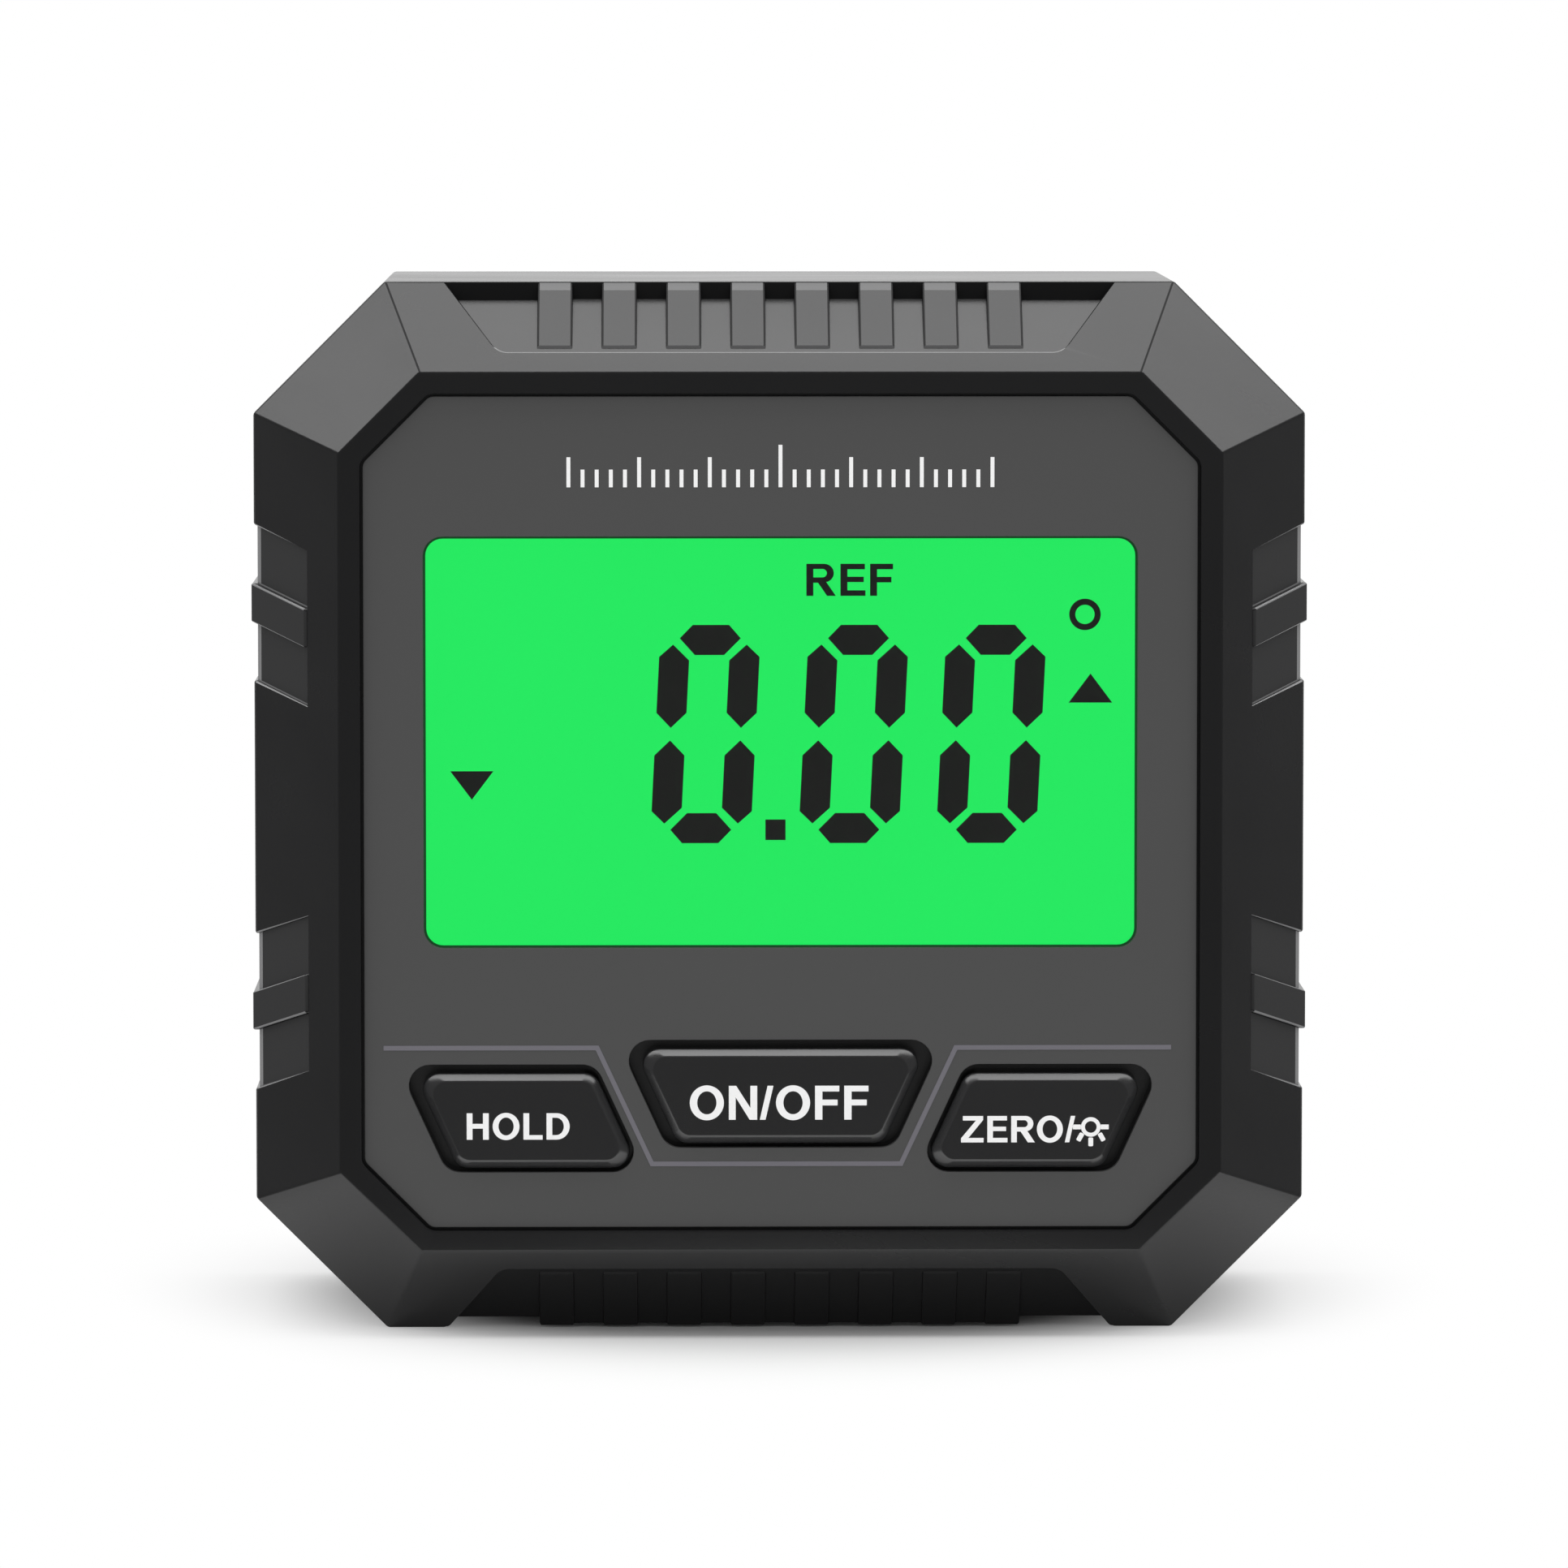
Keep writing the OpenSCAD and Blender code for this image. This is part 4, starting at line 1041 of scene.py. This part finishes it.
@dataclass(frozen=True)
class FacePanel:
    """Printed film on the front: its edge, the line round the keys and a plain tick scale."""

    face: float = -14.6
    film_back: float = -14.5 * MM
    print_height: float = 0.02
    line_width: float = 0.27
    line_lean: float = 0.62
    line_path: tuple[Place, ...] = (
        (-22.56, 16.61, 0), (-10.42, 16.61, 1), (-7.31, 9.97, 1),
        (6.86, 9.97, -1), (9.97, 16.61, -1), (22.22, 16.61, 0),
    )
    scale_base: float = 48.5
    tick_pitch: float = 0.8
    tick_side: int = 15
    tick_group: int = 5
    tick_width: float = 0.22
    tick_heights: tuple[float, ...] = (1.0, 1.7, 2.4)
    edge: Rounding = Rounding(0.06 * MM)

    def key_line(self) -> list[Loop]:
        """Draws the line that steps down round the middle key.

        Returns:
            Its outline.
        """
        t = self.line_width / 2
        lean = t * self.line_lean
        upper = [(x + lean * side, z + t) for x, z, side in self.line_path]
        lower = [(x - lean * side, z - t) for x, z, side in self.line_path]
        return [lower + upper[::-1]]

    def tick_scale(self) -> list[Loop]:
        """Draws a row of ticks, longer at every fifth and longest in the middle.

        Returns:
            Their outlines.
        """
        loops = []
        half, base = self.tick_width / 2, self.scale_base
        for i in range(-self.tick_side, self.tick_side + 1):
            rank = 2 if i == 0 else int(i % self.tick_group == 0)
            x = i * self.tick_pitch
            loops.append(bar(x - half, base, x + half, base + self.tick_heights[rank]))
        return loops

    def in_front(self, point: Vector) -> bool:
        """Tells whether an edge is on the front of the film."""
        return point.y < self.film_back

    def build(self, palette: Palette) -> None:
        """Builds the film and its print.

        Args:
            palette: Finishes.
        """
        film = rounded_copy("face_panel", "panel_film", (self.edge, self.in_front))
        finish_piece(film, palette["panel"], Body.CASE)
        line = raised_print("panel_line", self.key_line(), self.face, self.print_height)
        finish_piece(line, palette["grey_ink"], Body.CASE)
        ticks = raised_print("panel_scale", self.tick_scale(), self.face, self.print_height)
        finish_piece(ticks, palette["white_ink"], Body.CASE)


@dataclass(frozen=True)
class Display:
    """Lit display behind its clear window, with the segments of its reading."""

    face: float = -13.3
    ink: float = 0.05
    digit_left: float = -7.407
    digit_base: float = 28.193
    digit_width: float = 5.7
    digit_height: float = 12.43
    digit_steps: tuple[float, ...] = (0.0, 8.42, 16.24)
    stroke: float = 1.71
    slant: float = 0.05
    tip_across: float = 1.12
    tip_in: float = 0.76
    outer_start: float = 1.82
    inner_start: float = 2.02
    middle_gap: float = 0.36
    window: Box = (-20.25, 22.3, 20.25, 45.7)
    window_radius: float = 1.1
    lens_face: float = -14.1
    rim_width: float = 0.13
    rim_height: float = 0.03
    dot: Box = (-0.846, 28.369, 0.3, 29.537)
    ring_centre: Point = (17.304, 41.207)
    ring_radii: Point = (0.894, 0.55)
    arrows: tuple[tuple[Point, ...], ...] = (
        ((16.392, 36.189), (18.86, 36.189), (17.63, 37.84)),
        ((-18.745, 32.304), (-17.524, 30.685), (-16.303, 32.304)),
    )
    reference: Box = (1.483, 6.4, 42.274, 1.82)

    def digit(self) -> list[Loop]:
        """Draws the six lit segments of a zero, leaning to the right.

        Returns:
            Outlines with the digit's lower left corner at the origin.
        """
        w, h, t = self.digit_width, self.digit_height, self.stroke
        top = [
            (self.tip_across, h - self.tip_in), (self.outer_start, h),
            (w - self.outer_start, h), (w - self.tip_across, h - self.tip_in),
            (w - self.inner_start, h - t), (self.inner_start, h - t),
        ]
        foot = h / 2 + self.middle_gap
        side = [
            (self.tip_in, h - self.tip_across), (0, h - self.outer_start), (0, foot + t / 2),
            (t / 2, foot), (t, foot + t / 2), (t, h - self.inner_start),
        ]
        upper = [top, side, [(w - x, z) for x, z in side]]
        lower = [[(x, h - z) for x, z in loop] for loop in upper]
        return [[(x + self.slant * z, z) for x, z in loop] for loop in upper + lower]

    def signs(self) -> list[Loop]:
        """Draws the decimal point, degree ring, arrows and reference mark.

        Returns:
            Their outlines.
        """
        rings = (ellipse(self.ring_centre, (r, r)) for r in self.ring_radii)
        words = Capitals().write("REF", self.reference)
        return [bar(*self.dot), *rings, *map(list, self.arrows), *words]

    def rim(self) -> list[Loop]:
        """Draws the thin dark line that frames the window, a painted shade along its edge.

        Returns:
            Its outer and inner outlines.
        """
        left, low, right, high = self.window
        t = self.rim_width
        inner = (left + t, low + t, right - t, high - t)
        radius = self.window_radius
        return [rounded_bar(self.window, radius), rounded_bar(inner, radius - t)]

    def build(self, palette: Palette) -> None:
        """Builds the reading and dresses the display stack.

        Args:
            palette: Finishes.
        """
        reading = self.signs()
        for step in self.digit_steps:
            reading += moved(self.digit(), self.digit_left + step, self.digit_base)
        piece = raised_print("display_reading", reading, self.face, self.ink)
        finish_piece(piece, palette["segment"], Body.CASE)
        # The line round the window is painted shade.
        rim = raised_print("window_edge_shade", self.rim(), self.lens_face, self.rim_height)
        finish_piece(rim, palette["rim_ink"], Body.CASE)
        for node, finish in (
            ("display_window", "window"), ("display_gasket", "foam"), ("display_cell", "lit"),
            ("light_guide", "guide"), ("reflector_sheet", "white"), ("edge_lamps", "lamp"),
            ("display_frame", "white"), ("contact_strip", "rubber"),
        ):
            dress_node(node, palette[finish])


@dataclass(frozen=True)
class Keys:
    """Three keys with their lettering, switch stems and switches."""

    words: tuple[tuple[str, Body, str, Box], ...] = (
        ("hold", Body.HOLD, "HOLD", (-17.838, -11.986, 11.41, 1.51)),
        ("power", Body.POWER, "ON/OFF", (-5.162, 4.997, 12.53, 1.94)),
        ("zero", Body.ZERO, "ZERO/", (10.262, 16.759, 11.215, 1.51)),
    )
    face: float = -14.95
    crown: float = -14.4 * MM
    slant: Point = (0.2, 0.97)
    ink: float = 0.015
    edge: Rounding = Rounding(0.1 * MM)
    sun_centre: Point = (17.645, 12.092)
    sun_ring: Point = (0.56, 0.335)
    ray_half: float = 0.137
    side_rays: Point = (0.565, 1.02)
    side_corner: float = 0.02
    lower_rays: tuple[Place, ...] = (
        (-0.6, -0.575, 241.0), (0.0, -0.855, 270.0), (0.62, -0.575, 299.0))
    lower_half: float = 0.25
    ray_corner: float = 0.07

    def light_sign(self) -> list[Loop]:
        """Draws the light sign: a ring with two rays beside it and three below.

        Returns:
            The outlines.
        """
        near_end, far_end = self.side_rays
        x0, z0 = self.sun_centre
        half = self.ray_half
        loops = [ellipse(self.sun_centre, (r, r), 32) for r in self.sun_ring]
        for side in (-1, 1):
            left, right = sorted((x0 + side * near_end, x0 + side * far_end))
            loops.append(rounded_bar((left, z0 - half, right, z0 + half), self.side_corner))
        ray = rounded_bar((-self.lower_half, -half, self.lower_half, half), self.ray_corner)
        for across, up, angle in self.lower_rays:
            c, s = math.cos(math.radians(angle)), math.sin(math.radians(angle))
            turned = [(x * c - z * s, x * s + z * c) for x, z in ray]
            loops += moved([turned], x0 + across, z0 + up)
        return loops

    def in_front(self, point: Vector) -> bool:
        """Tells whether a point is on the crown of a key."""
        return point.y < self.crown

    def is_slope(self, face: Polygon) -> bool:
        """Tells whether a face is a sloping edge of a key, which is a little rougher and painted
        lighter as a painted highlight.
        """
        return inside(-face.normal.y, self.slant) and self.in_front(face.center)

    def build(self, palette: Palette) -> None:
        """Builds the keys and their print.

        Args:
            palette: Finishes.
        """
        for key, body, word, box in self.words:
            cap = rounded_copy(f"{key}_button", f"{key}_cap", (self.edge, self.in_front))
            # The sloping edges take the key's painted highlight.
            mark_faces(cap.data, self.is_slope)
            finish_piece(cap, palette["key"], body)
            loops = Capitals().write(word, box)
            if body is Body.ZERO:
                loops += self.light_sign()
            letters = raised_print(f"{key}_print", loops, self.face, self.ink)
            finish_piece(letters, palette["white_ink"], body)
            dress_node(f"{key}_stem", palette["stem"])
            dress_node(f"{key}_switch", palette["steel"])


@dataclass(frozen=True)
class Inside:
    """Circuit board, cells, contacts, magnets and screws."""

    finishes: tuple[tuple[str, str], ...] = (
        ("circuit_board", "board"), ("tilt_sensor", "chip"), ("controller_chip", "chip"),
        ("upper_cell", "upper_wrap"), ("lower_cell", "lower_wrap"), ("bridge_contact", "nickel"),
        ("positive_contact", "nickel"), ("negative_contact", "nickel"), ("bridge_spring", "nickel"),
        ("negative_spring", "nickel"), ("left_magnet", "nickel"), ("right_magnet", "nickel"),
        ("case_screws", "steel"), ("board_screws", "steel"),
    )

    def build(self, palette: Palette) -> None:
        """Dresses the inner nodes.

        Args:
            palette: Finishes.
        """
        for node, finish in self.finishes:
            dress_node(node, palette[finish])


@dataclass(frozen=True)
class FloorFinish(Finish):
    """Pale floor that runs out into the white backdrop and is clear from below."""

    ambient: float
    half: Point = (0.041, 0.055)
    middle: Place = (0.0, 0.015, -0.02 * MM)
    lift: float = 0.01
    fade_start: float = 0.5
    mirrored_start: float = 0.85
    shades: Point = (0.69, 0.71)

    def inputs(self, wires: Wiring) -> Inputs:
        """Wires the shader's inputs.

        Args:
            wires: Wiring of the material.

        Returns:
            Values and sockets by name.
        """
        grain = wires.effect(Effect.GRAIN, fine=1500.0, slow=12.0)
        pale = wires.mottled(grain, WHITE, self.shades)
        sizes = {"Vector": wires.place(), "Location": self.middle, "Scale": (*self.half, 1.0)}
        outwards = wires.add("ShaderNodeMapping", sizes, vector_type="TEXTURE").outputs["Vector"]
        reach = wires.add("ShaderNodeVectorMath", {0: outwards}, operation="LENGTH")
        path = wires.add("ShaderNodeLightPath").outputs
        early = wires.math("MULTIPLY", path["Is Camera Ray"], self.mirrored_start - self.fade_start)
        start = wires.math("SUBTRACT", self.mirrored_start, early)
        white = wires.spread(reach.outputs["Value"], start=start, way="SMOOTHSTEP")
        shown = wires.math("ADD", path["Is Camera Ray"], path["Is Glossy Ray"])
        shown = wires.math("ADD", shown, path["Is Transmission Ray"])
        shown = wires.math("MINIMUM", shown, 1.0)
        lifted = wires.math("MULTIPLY", shown, self.lift)
        faded = wires.math("MAXIMUM", shown, self.ambient)
        below = wires.add("ShaderNodeNewGeometry").outputs["Backfacing"]
        return {
            "Base Color": wires.mix(white, pale, BLACK), "Roughness": 0.9,
            "Specular IOR Level": 0.0, "Emission Color": WHITE,
            "Emission Strength": wires.mix(white, lifted, faded, "FLOAT"),
            "Alpha": wires.math("SUBTRACT", 1.0, below),
        }


@dataclass(frozen=True)
class Studio:
    """Camera, pale floor, soft overhead light and white backdrop."""

    eye: Place = (-6.67 * MM, -570.0 * MM, 76.06 * MM)
    aim: Place = (0.38 * MM, 0.0, 30.48 * MM)
    lens: float = 225.5
    sensor: float = 36.0
    clip: float = 0.01
    floor_segments: int = 96
    lamp_width: float = 1.7
    lamp_depth: float = 0.4
    lamp_height: float = 0.62
    lamp_radiance: float = 2.4
    dim_side: float = 0.14
    dim_end: float = 0.6
    ambient: float = 0.85

    def build(self) -> None:
        """Builds the whole studio."""
        self._camera()
        self._floor()
        self._lamp()
        self._world()
        bpy.context.scene.view_settings.view_transform = "Standard"

    def _camera(self) -> None:
        """Sets the camera at the photograph's place."""
        camera = bpy.data.cameras.new("camera")
        camera.lens = self.lens
        camera.sensor_width = self.sensor
        camera.clip_start = self.clip
        holder = bpy.data.objects.new("camera", camera)
        holder.location = self.eye
        look = Vector(self.aim) - Vector(self.eye)
        holder.rotation_euler = look.to_track_quat("-Z", "Y").to_euler()
        bpy.context.scene.collection.objects.link(holder)
        bpy.context.scene.camera = holder

    def _floor(self) -> None:
        """Lays the floor that takes the shadow."""
        finish = FloorFinish("floor_pale", self.ambient)
        place = Matrix.Translation(finish.middle) @ Matrix.Diagonal((*finish.half, 1.0, 1.0))
        shape = bmesh.new()
        bmesh.ops.create_circle(
            shape, cap_ends=True, segments=self.floor_segments, radius=1.0, matrix=place)
        mesh = bpy.data.meshes.new("floor")
        shape.to_mesh(mesh)
        shape.free()
        mesh.materials.append(finish.build())
        floor = add_object("floor", mesh)

    def _lamp(self) -> None:
        """Hangs one wide soft light overhead."""
        light = bpy.data.lights.new("overhead", "AREA")
        light.shape = "RECTANGLE"
        light.size, light.size_y = self.lamp_width, self.lamp_depth
        light.energy = math.pi * self.lamp_width * self.lamp_depth * self.lamp_radiance
        holder = bpy.data.objects.new("overhead", light)
        holder.location.z = self.lamp_height
        holder.visible_camera = False
        bpy.context.scene.collection.objects.link(holder)

    def _world(self) -> None:
        """Surrounds the scene with a white backdrop that is dim towards the camera's side."""
        world = bpy.data.worlds.new("studio")
        world.use_nodes = True
        bpy.context.scene.world = world
        wires = Wiring(world.node_tree)
        path = wires.add("ShaderNodeLightPath").outputs
        way = wires.add("ShaderNodeTexCoord").outputs["Generated"]
        back = wires.add("ShaderNodeSeparateXYZ", {"Vector": way}).outputs["Y"]
        dimmed = wires.spread(back, low=self.dim_side, end=self.dim_end, way="SMOOTHSTEP")
        mirrored = wires.math("MAXIMUM", path["Is Glossy Ray"], path["Is Transmission Ray"])
        around = wires.mix(mirrored, self.ambient, dimmed, "FLOAT")
        strength = wires.math("MAXIMUM", path["Is Camera Ray"], around)
        backdrop = wires.add("ShaderNodeBackground", {"Color": WHITE, "Strength": strength})
        wires.add("ShaderNodeOutputWorld", {"Surface": backdrop.outputs["Background"]})


def main() -> None:
    """Builds the gauge and its studio."""
    logging.basicConfig(level=logging.INFO, format="%(name)s %(message)s")
    SharedEffects().build()
    palette = Palette()
    for assembly in (Case(), FacePanel(), Display(), Keys(), Inside()):
        assembly.build(palette)
    Studio().build()


if __name__ == "__main__":
    main()
